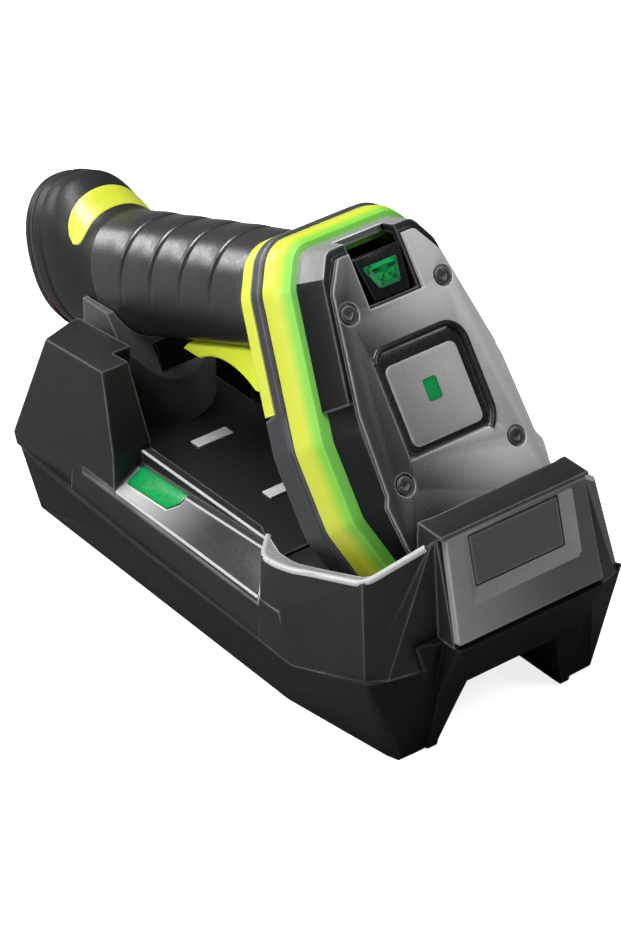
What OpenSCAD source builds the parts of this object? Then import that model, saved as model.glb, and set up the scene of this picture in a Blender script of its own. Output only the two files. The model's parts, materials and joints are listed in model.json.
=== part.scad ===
// Cordless pistol-grip barcode scanner standing nose down in its charging cradle.
// The cradle stands on Z = 0 with its long axis along Y and its front facing -Y.
// The scanner is drawn upright in its own frame, nose towards -Y and top plate at Z = 0,
// and is then tipped into the cradle by dock().

/* [Scanner head] */
// Width over the rubber band
head_width = 79; // [70:1:92]
// Length from the nose face to the back of the rubber band
head_length = 123.5; // [112:0.5:140]
// Height of the top plate above the back of the rubber band
head_top_height = 36; // [34:1:42]
// Depth of the nose face below the top plate
nose_depth = 50; // [46:1:56]
// Wall of the plastic shells
shell_wall = 2.2; // [1.6:0.1:2.8]
// Thickness of the grey top plate
plate_thickness = 2; // [1.6:0.1:2.6]
// Shaft diameter of the plate screws
plate_screw_d = 2.6; // [2:0.1:3.2]
// Head diameter of the plate screws
plate_screw_head_d = 5.6; // [4.6:0.1:6.4]

/* [Scanner handle] */
// Width of the handle over the grip
handle_width = 34; // [31:1:38]
// Front-to-back depth of the handle at the neck
handle_depth = 36; // [34:1:40]
// Front-to-back depth of the handle at the boot
handle_foot_depth = 41; // [38:1:44]
// Length of the handle from the head to the boot
handle_length = 118; // [110:1:130]
// Lean of the handle from square to the top plate, degrees
handle_lean = 15; // [10:1:18]
// Thickness of the rubber grip
grip_wall = 2.6; // [2:0.1:3.2]
// Width of the handle boot
boot_width = 37; // [36:1:42]
// Front-to-back depth of the handle boot
boot_depth = 52; // [48:1:58]
// Diameter of the trigger pivot pin
trigger_pin_d = 3; // [2:0.1:4]
// Width of the trigger
trigger_width = 14; // [11:0.5:16]
// Pull of the trigger, degrees
trigger_pull = 6; // [3:0.5:7]

/* [Battery] */
// Diameter of the round-sided battery pack
battery_d = 22; // [18:0.5:24]
// Length of the battery pack
battery_length = 84; // [70:1:88]
// Diameter of the lock screw in the battery cap
lock_screw_d = 5; // [4:0.1:6.5]

/* [Cradle] */
// Tilt of the docked scanner's plate from upright, degrees
dock_tilt = 36; // [33:1:39]
// Wall between the cup's inside and outside at the rim
cup_wall = 4; // [3:0.25:5.5]
// Height of the front block
front_height = 79.5; // [78:0.5:84]
// Height of the rear posts
post_height = 68; // [60:1:72]
// Height of the deck
deck_height = 28; // [26:0.5:29]
// Wall of the cradle shells
cradle_wall = 2.6; // [2:0.1:3]
// Diameter of the mounting holes
mount_hole_d = 4.4; // [3.4:0.1:5.4]
// Spacing of the mounting holes across the cradle
mount_spacing_x = 60; // [52:1:64]
// Spacing of the mounting holes along the cradle
mount_spacing_y = 88; // [76:1:92]

/* [Clearances] */
// Gap between the docked scanner and the cradle
dock_clearance = 0.7; // [0.4:0.05:1.2]
// Gap round moving parts
run_clearance = 0.4; // [0.3:0.05:0.6]
// Gap at a seat that only rests
seat_gap = 0.3; // [0.2:0.05:0.4]
// Radial gap of a pin in its bore
pin_clearance = 0.06; // [0.03:0.01:0.1]

/* [Hidden] */

charcoal = "#3b3d40";
black = "#242527";
plate_grey = "#77797c";
trim_grey = "#9a9c9f";
lime = "#c8e02c";
green = "#1fa060";
eps = 0.01;
slice = 0.25;

// --- Scanner: derived places -------------------------------------------------
// The nose face is at Y = 0 and the top of the plate at Z = 0.
head_half = head_width / 2;
band_top = -head_top_height + 12;
band_bottom = -head_top_height;
ring_top = band_top + 11;
band_lap = 2.4;
rim_top = band_bottom + 6.8;
rim_floor = 2.2;
mount_pad_rim = 3.2;
ring_inset = 1.2;
shoulder_inset = 10.6;
crown_front = 70;
plate_front = 22;
plate_back = head_length - 12.5;
plate_half = head_half - 11;
plate_crown_half = plate_half - 8;
window_half = 9.4;
window_back = plate_back - 1.5;
window_front = window_back - 15;
screw_low = [plate_half - 7, 42];
screw_high = [plate_half - 10.6, 94.6];
label_y = [48, 80];
label_half = 16.5;
under_depth = nose_depth + 18;
nose_low = 2 - nose_depth;
nose_high = band_top - 1;
board_z = band_top - 1.6 - seat_gap;
neck_front = 74;

// The handle's own frame: its axis is Z, the foot end is at -Z and the fingers are at -Y.
handle_top = [0, head_length - 21, band_bottom - 4];
neck_end = -18;
handle_end = -handle_length;
boot_height = 11.5;
boot_offset = 6;
cap_height = 6.5;
cap_z = handle_end - boot_height;
collar_start = handle_end + 20;
finger_slot_half = trigger_width / 2 + run_clearance + 0.3;
battery_shift = 2.5;
lock_y = boot_depth / 2 + boot_offset - 8.5;
pad_z = -90;
pad_face = -handle_foot_depth / 2 + grip_wall - 0.3;
contact_d = 1.8;

// The trigger pivots high in the neck; its profile is drawn in the scanner's upright frame.
pivot_y = 87;
pivot_z = -62;
ear_wall = 2.4;

// --- Cradle: derived places --------------------------------------------------
cup_half = head_half + dock_clearance + cup_wall + 1;
seam_side = 20;
seam_front = 33;
base_bottom = 0.8;
front_y = -100.6;
front_lean = 9.4;
front_foot_y = -96;
rear_y = 96;
block_half = 28.4;
rail_half = 33;
rail_width = 2;
trim_low_z = 33;
trim_high_z = 41;
panel_t = 2.4;
button_half = 17;
button_top = -4.2;
button_low = -19.8;
base_screw_d = 2.9;
cup_rim = [[-20, 42], [-26, 44], [-52, 50.5], [-85, 62.5], [-97, 76], [-99, 79]];
dock_u = 20;
dock_origin = [0,
    -dock_u * sin(dock_tilt) - 110 * cos(dock_tilt),
    -dock_u * cos(dock_tilt) + 110 * sin(dock_tilt)];

// --- Helpers -----------------------------------------------------------------
module dock() {
    translate(dock_origin) rotate([90 - dock_tilt, 0, 0]) children();
}

module on_handle() {
    translate(handle_top) rotate([handle_lean, 0, 0]) children();
}

// Extrudes a (Y, Z) outline across X, from -half to +half.
module across(half) {
    rotate([90, 0, 90]) linear_extrude(2 * half, center = true) children();
}

// Hull of points given for the +X side and mirrored to -X.
module mirrored_hull(points) {
    hull()
        for (p = points, side = [-1, 1])
            translate([side * p.x, p.y, p.z]) cube(slice, center = true);
}

module both_sides() {
    children();
    mirror([1, 0, 0]) children();
}

// Inside of the lower housing's floor at a place along the head.
function floor_z(y) =
    shell_wall - nose_depth - (y - shell_wall) * (under_depth - nose_depth) / (60 - shell_wall);

// Plan of the head, widest at mid length; inset moves the outline inwards.
module head_plan(inset) {
    offset(delta = -inset, $fn = 32)
        offset(r = 13, $fn = 40) offset(delta = -13)
            polygon([[-28, 0], [28, 0], [head_half, 36], [head_half, 62],
                [head_half - 9.5, head_length - 14], [head_half - 18, head_length],
                [18 - head_half, head_length], [9.5 - head_half, head_length - 14],
                [-head_half, 62], [-head_half, 36]]);
}

// Plan of the top plate with its notch for the indicator window.
module plate_plan(inset) {
    offset(delta = -inset)
        difference() {
            offset(r = 2, $fn = 24) offset(delta = -2)
                polygon([[-plate_half, plate_front], [plate_half, plate_front],
                    [plate_half + 1.6, plate_front + 16], [plate_half, plate_front + 19],
                    [plate_half - 1, 66], [plate_crown_half, plate_back - 9],
                    [plate_crown_half - 6, plate_back], [6 - plate_crown_half, plate_back],
                    [-plate_crown_half, plate_back - 9], [1 - plate_half, 66],
                    [-plate_half, plate_front + 19], [-plate_half - 1.6, plate_front + 16]]);
            translate([-window_half - 1, window_front - 1])
                square([2 * window_half + 2, head_length]);
        }
}

function ellipse_points(a, b, power, count) =
    [for (i = [0:count - 1])
        let (t = 360 * i / count, c = cos(t), s = sin(t))
        [a * sign(c) * pow(abs(c), power), b * sign(s) * pow(abs(s), power)]];

// Section of the handle, a softened ellipse; inset moves it inwards.
module handle_section(inset, depth = handle_depth) {
    polygon(ellipse_points(handle_width / 2 - inset, depth / 2 - inset, 0.86, 40));
}

// Solid of the handle between two heights in the handle's frame.
module handle_solid(inset, low, high) {
    intersection() {
        hull() {
            translate([0, 0, neck_end]) linear_extrude(slice) handle_section(inset);
            translate([0, 0, cap_z - 1]) linear_extrude(slice) handle_section(inset, handle_foot_depth);
        }
        translate([-50, -50, low]) cube([100, 100, high - low]);
    }
}

module boot_section(inset) {
    translate([0, boot_offset])
        polygon(ellipse_points(boot_width / 2 - inset, boot_depth / 2 - inset, 0.9, 40));
}

module plate_screw_places() {
    for (p = [screw_low, screw_high], side = [-1, 1])
        translate([side * p.x, p.y, 0]) children();
}

// --- Scanner head --------------------------------------------------------------
// Slab of the head's plan at one height, cut square at the front.
module head_slab(z, thickness, inset, front) {
    translate([0, 0, z]) linear_extrude(thickness)
        intersection() {
            head_plan(inset);
            translate([-head_half, front]) square([head_width, head_length]);
        }
}

// Outside of the upper housing: a steep wall inside the ring's shoulder, and a wider
// block round the crown; drop lowers its foot.
module upper_outer(inset, drop = 0) {
    hull() {
        head_slab(band_top - drop, slice + drop, ring_inset + 3 + inset, -1);
        head_slab(ring_top - 1 - slice, slice, shoulder_inset + inset, 6);
        head_slab(-plate_thickness - inset - slice - 0.02, slice, shoulder_inset + 1 + inset,
            plate_front - 2);
    }
    intersection() {
        hull() {
            head_slab(band_top - drop + 1.2, slice + drop, ring_inset + 3.8 + inset, 30);
            head_slab(ring_top - 1 - slice, slice, ring_inset + 5 + inset, 30);
            head_slab(-plate_thickness - inset - slice - 0.06, slice, ring_inset + 8.2 + inset, 30);
        }
        translate([-head_half, crown_front + inset, band_top - 10]) cube([head_width, head_length, 60]);
    }
}

module upper_housing() {
    color(charcoal)
        difference() {
            upper_outer(0);
            difference() {
                upper_outer(shell_wall, 2);
                plate_screw_places()
                    translate([0, 0, band_top])
                        cylinder(h = head_top_height, d = plate_screw_d + 4, $fn = 32);
            }
            plate_screw_places()
                translate([0, 0, -12]) cylinder(h = 14, d = plate_screw_d + 2 * pin_clearance, $fn = 32);
            translate([-window_half, window_front, -9])
                cube([2 * window_half, window_back + 6 - window_front, 10]);
        }
}

module top_plate() {
    color(plate_grey)
        difference() {
            translate([0, 0, -plate_thickness]) linear_extrude(plate_thickness) plate_plan(0);
            plate_screw_places() {
                translate([0, 0, -5]) cylinder(h = 10, d = plate_screw_d + 0.5, $fn = 32);
                translate([0, 0, -1.1]) cylinder(h = 5, d = plate_screw_head_d + 1.2, $fn = 48);
            }
            translate([-label_half, label_y[0], -1.2])
                cube([2 * label_half, label_y[1] - label_y[0], 3]);
        }
}

module plate_screws() {
    color(black)
        plate_screw_places()
            difference() {
                union() {
                    translate([0, 0, -9]) cylinder(h = 9 - 1.1 + eps, d = plate_screw_d, $fn = 32);
                    translate([0, 0, -1.1]) cylinder(h = 1, d = plate_screw_head_d, $fn = 48);
                }
                translate([0, 0, -0.9]) cylinder(h = 2, d = 2.2, $fn = 6);
            }
}

module label_plate() {
    color("#6d6f73")
        translate([-label_half + 0.3, label_y[0] + 0.3, -1.2])
            linear_extrude(0.6)
                square([2 * label_half - 0.6, label_y[1] - label_y[0] - 0.6]);
}

module indicator_window() {
    color(green)
        translate([0, 0, -9])
            linear_extrude(7.4)
                polygon([[-window_half + 0.4, window_back - 0.4], [window_half - 0.4, window_back - 0.4],
                    [window_half - 2.6, window_front + 0.4], [2.6 - window_half, window_front + 0.4]]);
}

module ring_bumper() {
    color(lime)
        difference() {
            hull() {
                translate([0, 0, band_top]) linear_extrude(5) head_plan(ring_inset);
                translate([0, 0, ring_top - slice]) linear_extrude(slice) head_plan(ring_inset + 3.4);
            }
            upper_outer(-0.05, 2);
        }
}

module rubber_band() {
    color(charcoal)
        difference() {
            translate([0, 0, band_bottom]) linear_extrude(band_top - band_bottom) head_plan(0);
            translate([0, 0, band_bottom - 1])
                linear_extrude(band_top - band_bottom + 2) head_plan(band_lap + ring_inset);
            translate([-head_half - 1, neck_front + 0.2, band_bottom - 1])
                cube([head_width + 2, head_length, rim_top - band_bottom + 1]);
            nose_opening(0);
        }
}

// Box across the nose that the window frame fills.
module nose_opening(gap) {
    translate([-24 - gap, -1, nose_low - gap])
        cube([48 + 2 * gap, 5 + gap, nose_high - nose_low + 2 * gap]);
}

module lower_outer(inset) {
    hull() {
        translate([0, 0, band_bottom - slice]) linear_extrude(slice + inset)
            intersection() {
                head_plan(band_lap + ring_inset + 0.2 + inset);
                translate([-head_half, 0]) square([head_width, neck_front - inset]);
            }
        translate([-24 + inset, inset, -nose_depth + inset]) cube([48 - 2 * inset, 60 - inset, 1]);
        translate([-14 + inset, 60, -under_depth + inset]) cube([28 - 2 * inset, 14 - inset, 1]);
    }
}

module lower_housing() {
    color(black)
        difference() {
            union() {
                lower_outer(0);
                translate([0, 0, band_bottom - slice / 2])
                    linear_extrude(band_top - band_bottom + slice / 2) head_plan(band_lap + ring_inset);
            }
            lower_outer(shell_wall);
            translate([0, 0, band_bottom + shell_wall]) linear_extrude(band_top - band_bottom)
                head_plan(band_lap + ring_inset + shell_wall);
            nose_opening(0);
            translate([-11, 76, band_bottom - 5]) cube([22, 26, 12]);
        }
}

module nose_frame() {
    color(charcoal)
        difference() {
            translate([-24, 0, nose_low]) cube([48, 4, nose_high - nose_low]);
            translate([-20, -1, nose_low + 4]) cube([40, 6, nose_high - nose_low - 6]);
        }
}

module scan_window() {
    color("#16181c")
        translate([-20 + 0.1, 2, nose_low + 4.1]) cube([39.8, 1.6, nose_high - nose_low - 6.2]);
}

module scan_engine() {
    color("#3a3f45")
        difference() {
            union() {
                translate([-11, 12, -nose_depth + 5]) cube([22, 16, 14]);
                translate([0, 12, -nose_depth + 12]) rotate([90, 0, 0]) cylinder(h = 4, d = 9, $fn = 48);
                translate([-14, 24, floor_z(24) + seat_gap])
                    cube([28, 4, 5.3 - nose_depth - floor_z(24)]);
            }
            translate([0, 14, -nose_depth + 12]) rotate([90, 0, 0]) cylinder(h = 10, d = 6, $fn = 48);
        }
}

module illumination_board() {
    color("#1d5c38") {
        for (x = [-18, 13])
            translate([x, 8, floor_z(8) + seat_gap]) cube([5, 1.6, 22 - nose_depth - floor_z(8)]);
        translate([-18, 8, -nose_depth + 21]) cube([36, 1.6, 3]);
    }
}

module main_board() {
    color("#1d5c38")
        union() {
            translate([-24, 30, board_z]) cube([48, 62, 1.6]);
            translate([-9, 44, board_z + 1.5]) cube([18, 18, 1.8]);
            translate([10, 66, board_z + 1.5]) cube([9, 12, 1.4]);
        }
}

module beeper() {
    color(black)
        difference() {
            translate([-14, 80, board_z + 1.6]) cylinder(h = 6, d = 13, $fn = 48);
            translate([-14, 80, board_z + 5]) cylinder(h = 4, d = 2.4, $fn = 24);
        }
}

// --- Scanner neck and handle -----------------------------------------------------
module neck_outer(inset) {
    hull() {
        translate([0, 0, band_bottom - 2 * slice - inset]) linear_extrude(slice)
            intersection() {
                head_plan(band_lap + ring_inset + 5 + inset);
                translate([-head_half, 74.2 + inset]) square([head_width, head_length]);
            }
        on_handle() translate([0, 0, neck_end - inset / 2]) linear_extrude(slice) handle_section(inset);
    }
}

// Rim of the neck that takes over from the band round the crown.
module neck_rim() {
    difference() {
        head_slab(band_bottom - rim_floor, rim_top - band_bottom + rim_floor, 0, neck_front + 0.2);
        head_slab(band_bottom - 2 * slice, head_top_height, band_lap + ring_inset, neck_front - 1);
    }
}

// Gap in the neck and handle that the trigger swings in.
module trigger_slot() {
    hull() {
        translate([-finger_slot_half, 60, -60]) cube([2 * finger_slot_half, 37, 8]);
        translate([-finger_slot_half, 70, -122]) cube([2 * finger_slot_half, 40, 8]);
    }
}

module neck_shell() {
    color(lime)
        difference() {
            union() {
                neck_outer(0);
                neck_rim();
            }
            difference() {
                neck_outer(shell_wall);
                translate([-finger_slot_half - ear_wall, 60, -90])
                    cube([2 * (finger_slot_half + ear_wall), 42, 44]);
            }
            translate([-10, 78, band_bottom - 6]) cube([20, 24, 8]);
            intersection() {
                trigger_slot();
                translate([-50, 0, -140]) cube([100, 200, 88]);
            }
            trigger_axis(60, trigger_pin_d + 2 * pin_clearance);
            translate([-3.1, 90, -64.1]) cube([6.2, 12, 9.2]);
        }
}

module trigger_axis(length, diameter) {
    translate([-length / 2, pivot_y, pivot_z]) rotate([0, 90, 0])
        cylinder(h = length, d = diameter, $fn = 48);
}

// Side view of the trigger: a boss round the pivot, a hollow for the finger and a pointed tip.
module trigger() {
    color(lime)
        difference() {
            across(trigger_width / 2)
                difference() {
                    union() {
                        translate([pivot_y, pivot_z]) circle(d = trigger_pin_d + 6, $fn = 48);
                        polygon([[pivot_y - 4, pivot_z + 2], [78, -72], [80, -84], [100.5, -116],
                            [101.5, -112], [pivot_y + 5, -72], [pivot_y + 4, pivot_z]]);
                    }
                    translate([70.5, -107]) circle(r = 25, $fn = 96);
                }
            trigger_axis(60, trigger_pin_d + 2 * pin_clearance);
        }
}

module trigger_pin() {
    color("silver")
        trigger_axis(2 * (finger_slot_half + ear_wall) - 0.4, trigger_pin_d);
}

// Leaf that pushes the trigger's back forwards from the floor of its pocket.
module trigger_spring() {
    color("silver")
        across(3)
            polygon([[97.2, -66], [97.8, -66], [98.2, -76], [95.6, -82], [95, -81.6], [97.5, -75.8]]);
}

module trigger_switch() {
    color(black)
        union() {
            translate([-3, 96.9, -64]) cube([6, 5, 9]);
            translate([0, 97, -61]) rotate([90, 0, 0]) cylinder(h = 0.9, d = 2, $fn = 32);
        }
}

module handle_shell() {
    color(black)
        difference() {
            on_handle() difference() {
                handle_solid(grip_wall, handle_end, neck_end - eps);
                handle_solid(grip_wall + shell_wall, handle_end - 1, neck_end + 1);
            }
            trigger_slot();
        }
}

module handle_grip() {
    color(charcoal)
        difference() {
            on_handle() difference() {
                handle_solid(0, collar_start, neck_end - eps);
                handle_solid(grip_wall, collar_start - 1, neck_end + 1);
                difference() {
                    for (s = [40, 60, 80])
                        translate([0, 0, -s]) rotate([-22, 0, 0]) cube([60, 80, 2], center = true);
                    handle_solid(1.1, handle_end, neck_end + 1);
                }
                translate([-9, -40, pad_z - 6.5]) cube([18, 32, 13]);
            }
            trigger_slot();
        }
}

// Fairing that flares from the grip to the boot; the collar is its rear part.
module boot_fairing() {
    difference() {
        hull() {
            translate([0, 0, collar_start - slice]) linear_extrude(slice)
                handle_section(0, handle_foot_depth - 1);
            translate([0, 0, handle_end]) linear_extrude(slice) boot_section(1);
        }
        translate([0, 0, handle_end - 1]) linear_extrude(30) handle_section(grip_wall, handle_foot_depth);
        handle_solid(grip_wall, handle_end - 1, collar_start + 1);
    }
}

module handle_collar() {
    color(lime)
        on_handle() intersection() {
            boot_fairing();
            translate([-50, 4, handle_end]) cube([100, 60, 40]);
        }
}

module handle_boot() {
    color(black)
        on_handle() difference() {
            union() {
                intersection() {
                    boot_fairing();
                    translate([-50, -60, handle_end]) cube([100, 64, 40]);
                }
                translate([0, 0, cap_z]) linear_extrude(boot_height) boot_section(0);
            }
            translate([0, 0, cap_z - 1]) linear_extrude(boot_height + 1)
                handle_section(grip_wall + shell_wall, handle_foot_depth);
            translate([0, lock_y, cap_z - 1])
                cylinder(h = 9, d = lock_screw_d + 2 * pin_clearance, $fn = 48);
        }
}

module battery_pack() {
    color("#4a4d52")
        on_handle() translate([0, battery_shift, cap_z + 0.9])
            union() {
                cylinder(h = battery_length, d = battery_d, $fn = 64);
                translate([-4, -4, battery_length]) cube([8, 8, 1]);
            }
}

module battery_cap() {
    color(charcoal)
        on_handle() difference() {
            union() {
                translate([0, 0, cap_z - 4.2]) linear_extrude(4.2 - seat_gap) boot_section(0.6);
                hull() {
                    translate([0, 0, cap_z - 4.2]) linear_extrude(slice) boot_section(0.6);
                    translate([0, 0, cap_z - cap_height]) linear_extrude(slice) boot_section(3.4);
                }
                translate([0, 0, cap_z - 0.5]) linear_extrude(1.4)
                    handle_section(grip_wall + shell_wall + run_clearance, handle_foot_depth);
            }
            translate([0, lock_y, cap_z - 12])
                cylinder(h = 20, d = lock_screw_d + 2 * pin_clearance, $fn = 48);
            translate([0, lock_y, cap_z - 12]) cylinder(h = 12 - 3.6, d = lock_screw_d + 5.4, $fn = 48);
            translate([0, 0, cap_z - 0.9]) difference() {
                linear_extrude(2) handle_section(0.2, handle_foot_depth);
                translate([0, 0, -1]) linear_extrude(4) handle_section(1.8, handle_foot_depth);
            }
        }
}

module cap_gasket() {
    color("#8a2f2a")
        on_handle() translate([0, 0, cap_z - 0.9 + eps])
            linear_extrude(0.6) difference() {
                handle_section(0.35, handle_foot_depth);
                handle_section(1.65, handle_foot_depth);
            }
}

module lock_screw() {
    color("silver")
        on_handle() translate([0, lock_y, 0]) difference() {
            union() {
                translate([0, 0, cap_z - 4.1]) cylinder(h = 10.1, d = lock_screw_d, $fn = 48);
                translate([0, 0, cap_z - cap_height + 0.4])
                    cylinder(h = cap_height - 4 - seat_gap, d = lock_screw_d + 4.4, $fn = 48);
            }
            translate([-6, -0.8, cap_z - cap_height - 1]) cube([12, 1.6, 2.6]);
        }
}

module battery_terminals() {
    color("gold")
        on_handle() translate([0, battery_shift, cap_z + battery_length + 2.2])
            union() {
                translate([-7, -7, 1]) cube([14, 14, 1.4]);
                for (x = [-2.6, 0, 2.6]) translate([x, 0, 0]) cylinder(h = 1.2, d = 1.4, $fn = 24);
            }
}

module charge_pads() {
    color("gold")
        on_handle() for (x = [-4.5, 4.5])
            translate([x - 2, pad_face, pad_z - 4]) cube([4, 0.9, 8]);
}

// --- Cradle -----------------------------------------------------------------------
function trim_z(x, y) = trim_high_z - 1 - 0.5523 * (x - rail_half - 3.5) - 0.0552 * (y + 28);

module below_seam() {
    across(90)
        polygon([[-130, -5], [130, -5], [130, seam_side], [-58, seam_side], [-93, seam_front],
            [-100, seam_front + 1], [-100, 44], [-130, 44]]);
}

module cradle_low(inset) {
    mirrored_hull([
        [cup_half - 5.2 - inset, -88 + inset, base_bottom + inset],
        [38 - inset, front_foot_y + 1.5 + inset, base_bottom + inset],
        [cup_half - 0.2 - inset, -50, base_bottom + inset],
        [cup_half - 1.2 - inset, -3, base_bottom + inset],
        [42.4 - inset, 82 - inset / 2, base_bottom + inset],
        [36 - inset, 88 - inset, base_bottom + inset],
        [cup_half + 8.4 - inset, -94 + inset, 44],
        [29.6 - inset / 2, -102.5 + inset, 44],
        [cup_half + 10.8 - inset, -60, 44],
        [50 - inset, 62, 44],
        [45 - inset, 101 - inset, 44],
        [34 - inset, 104.5 - inset, 44]]);
}

// Block under the front panel, as a side view.
module front_block(inset) {
    across(block_half - inset)
        polygon([[-86, base_bottom + inset], [front_foot_y + inset, base_bottom + inset],
            [-101 + inset, 24], [front_y - front_lean + inset, 44.5],
            [front_y + inset, front_height - inset], [-90 + inset / 2, front_height - inset]]);
}

module cable_arch(inset) {
    intersection() {
        rotate([90, 0, 0]) linear_extrude(240, center = true)
            offset(delta = inset)
                polygon([[-24.5, -6], [-24.5, 3], [-17, 24], [17, 24], [24.5, 3], [24.5, -6]]);
        across(60)
            offset(delta = inset)
                polygon([[-140, -6], [-140, 24], [-84, 24], [-62, 8], [-62, -6]]);
    }
}

// Frame of the sloping front face: X across, -Y out of the face, -Z down the slope.
module on_front() {
    translate([0, front_y, front_height]) rotate([-atan(front_lean / (front_height - 44.5)), 0, 0])
        children();
}

module boss_places() {
    for (x = [-1, 1], y = [-46, 46]) translate([x * 37, y, 0]) children();
}

module foot_places() {
    for (x = [-1, 1]) {
        translate([x * 32, -84, 0]) children();
        translate([x * 32, 78, 0]) children();
    }
}

module mount_places() {
    for (x = [-1, 1], y = [-1, 1])
        translate([x * mount_spacing_x / 2, y * mount_spacing_y / 2, 0]) children();
}

module port_openings(gap) {
    translate([-20 - gap, 80, 7 - gap]) cube([11 + 2 * gap, 30, 9 + 2 * gap]);
    translate([8 - gap, 80, 7 - gap]) cube([15 + 2 * gap, 30, 10 + 2 * gap]);
}

module cradle_base() {
    color(black)
        difference() {
            union() {
                difference() {
                    union() {
                        intersection() {
                            cradle_low(0);
                            below_seam();
                        }
                        intersection() {
                            front_block(0);
                            below_seam();
                        }
                    }
                    cradle_low(cradle_wall);
                    intersection() {
                        front_block(cradle_wall);
                        translate([-50, -130, 26.6]) cube([100, 60, 40]);
                    }
                }
                intersection() {
                    cable_arch(cradle_wall);
                    union() {
                        cradle_low(0);
                        front_block(0);
                    }
                    translate([-50, -120, 0.8]) cube([100, 100, 25.8]);
                }
                boss_places() translate([0, 0, base_bottom + 1]) cylinder(h = 8.2, d = 9, $fn = 48);
                mount_places() cylinder(h = base_bottom + 1, d = mount_hole_d + mount_pad_rim, $fn = 48);
                board_posts();
            }
            cable_arch(0);
            boss_places() {
                translate([0, 0, -1]) cylinder(h = 30, d = base_screw_d + 0.5, $fn = 32);
                translate([0, 0, -1]) cylinder(h = 4.4, d = 6.4, $fn = 48);
            }
            foot_places() translate([0, 0, -1]) cylinder(h = 2.6, d = 12.3, $fn = 48);
            mount_places() translate([0, 0, -1]) cylinder(h = 8, d = mount_hole_d, $fn = 48);
            port_openings(0.3);
        }
}

module board_posts() {
    for (x = [-22, 22], y = [-14, 44])
        translate([x, y, base_bottom + 1]) cylinder(h = 5.4, d = 6, $fn = 32);
}

// Space that the docked scanner takes and leaves through.
module scanner_way(gap) {
    dock() intersection() {
        across(head_half + gap)
            polygon([[-gap, -nose_depth - gap], [-gap, -17 + gap], [plate_front - gap, gap], [260, gap],
                [260, -under_depth - gap], [59, -under_depth - gap]]);
        rotate([90, 0, 0]) mirror([0, 0, 1]) translate([0, 0, -20]) linear_extrude(280)
            polygon([[-head_half - gap, band_bottom - gap], [-head_half - gap, ring_top - 4],
                [-plate_half - 8 - gap, gap], [plate_half + 8 + gap, gap],
                [head_half + gap, ring_top - 4], [head_half + gap, band_bottom - gap],
                [30 + gap, -nose_depth - gap], [26 + gap, -under_depth - 4],
                [-26 - gap, -under_depth - 4], [-30 - gap, -nose_depth - gap]]);
    }
}

module handle_way(gap) {
    dock() on_handle() translate([-handle_width / 2 - 5, -handle_foot_depth / 2 - gap, -200])
        cube([handle_width + 10, 160, 190]);
}

module cup_outside() {
    mirrored_hull([
        [cup_half + 5, -58, seam_side - 8],
        [cup_half + 7, -96.4, seam_side - 8],
        [29.4, -102.4, seam_side - 8],
        [cup_half + 5, -42, seam_side - 8],
        [cup_half, -85, 62],
        [cup_half - 1, -52, 52],
        [cup_half - 3.2, -80.2, 84],
        [26.4, -97.4, 84],
        [cup_half - 5, -46, 84],
        [rail_half + 1.4, -26, 44],
        [rail_half + 1.4, -26, 84],
        [cup_half + 3.2, -41, trim_z(cup_half + 3.2, -41)]]);
}

module cup_inside() {
    mirrored_hull([
        [cup_half + 0.6, -52, 27],
        [cup_half + 0.8, -88, 27],
        [25, -92.5, 27],
        [cup_half - cup_wall, -81, 62],
        [cup_half - cup_wall - 3.2, -76, 86],
        [24, -90, 86],
        [cup_half - cup_wall - 5, -44, 86],
        [rail_half - rail_width, -20, 27],
        [rail_half - rail_width, -20, 86]]);
}

module rim_profile() {
    across(90)
        polygon(concat([[130, -20], [130, 42]], cup_rim, [[-130, 79], [-130, -20]]));
}

module mid_body() {
    mirrored_hull([
        [cup_half + 5, -62, seam_side - 8], [46.6, 60, seam_side - 8],
        [cup_half + 3.6, -50, trim_z(cup_half + 3.6, -50)], [44.4, 60, trim_z(44.4, 60)],
        [rail_half + 1.4, -50, trim_z(rail_half + 1.4, -50)], [rail_half + 1.4, 60,
            trim_z(rail_half + 1.4, 60)]]);
}

module rear_body(inset) {
    mirrored_hull([
        [46 - inset, 36 + inset, seam_side - 12], [43.5 - inset, 88 - inset, seam_side - 12],
        [36 - inset, 92 - inset, seam_side - 12],
        [45.4 - inset, 37 + inset, 44], [43.4 - inset, rear_y - 2 - inset, 24], [36 - inset,
            rear_y - inset, 24],
        [41 - inset, 48 + inset, post_height - inset], [39.4 - inset, 80 - inset, post_height - inset - 4],
        [26 - inset, 84 - inset, post_height - inset - 4], [26, 48 + inset, post_height - inset]]);
}

module trim_shape(grow) {
    hull()
        for (p = [[cup_half + 3.2, -40], [rail_half + 3.5, -28.4], [44.5, 54], [rail_half + 3.5, 46]])
            translate([p.x, p.y, trim_z(p.x, p.y) - 1 + grow])
                cube([0.4 + grow, 0.4 + grow, 2 + 3 * grow], center = true);
}

module lens_shape(grow) {
    translate([0, 0, -3 - grow / 2])
        hull()
            for (p = [[-41.6, 14.6], [-38.8, 12], [-35.6, 12], [-35.6, 35], [-41.6, 35]])
                translate([p.x, p.y, trim_z(-p.x, p.y)]) cylinder(h = 3.6 + grow, r = 0.2 + grow, $fn = 16);
}

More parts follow.
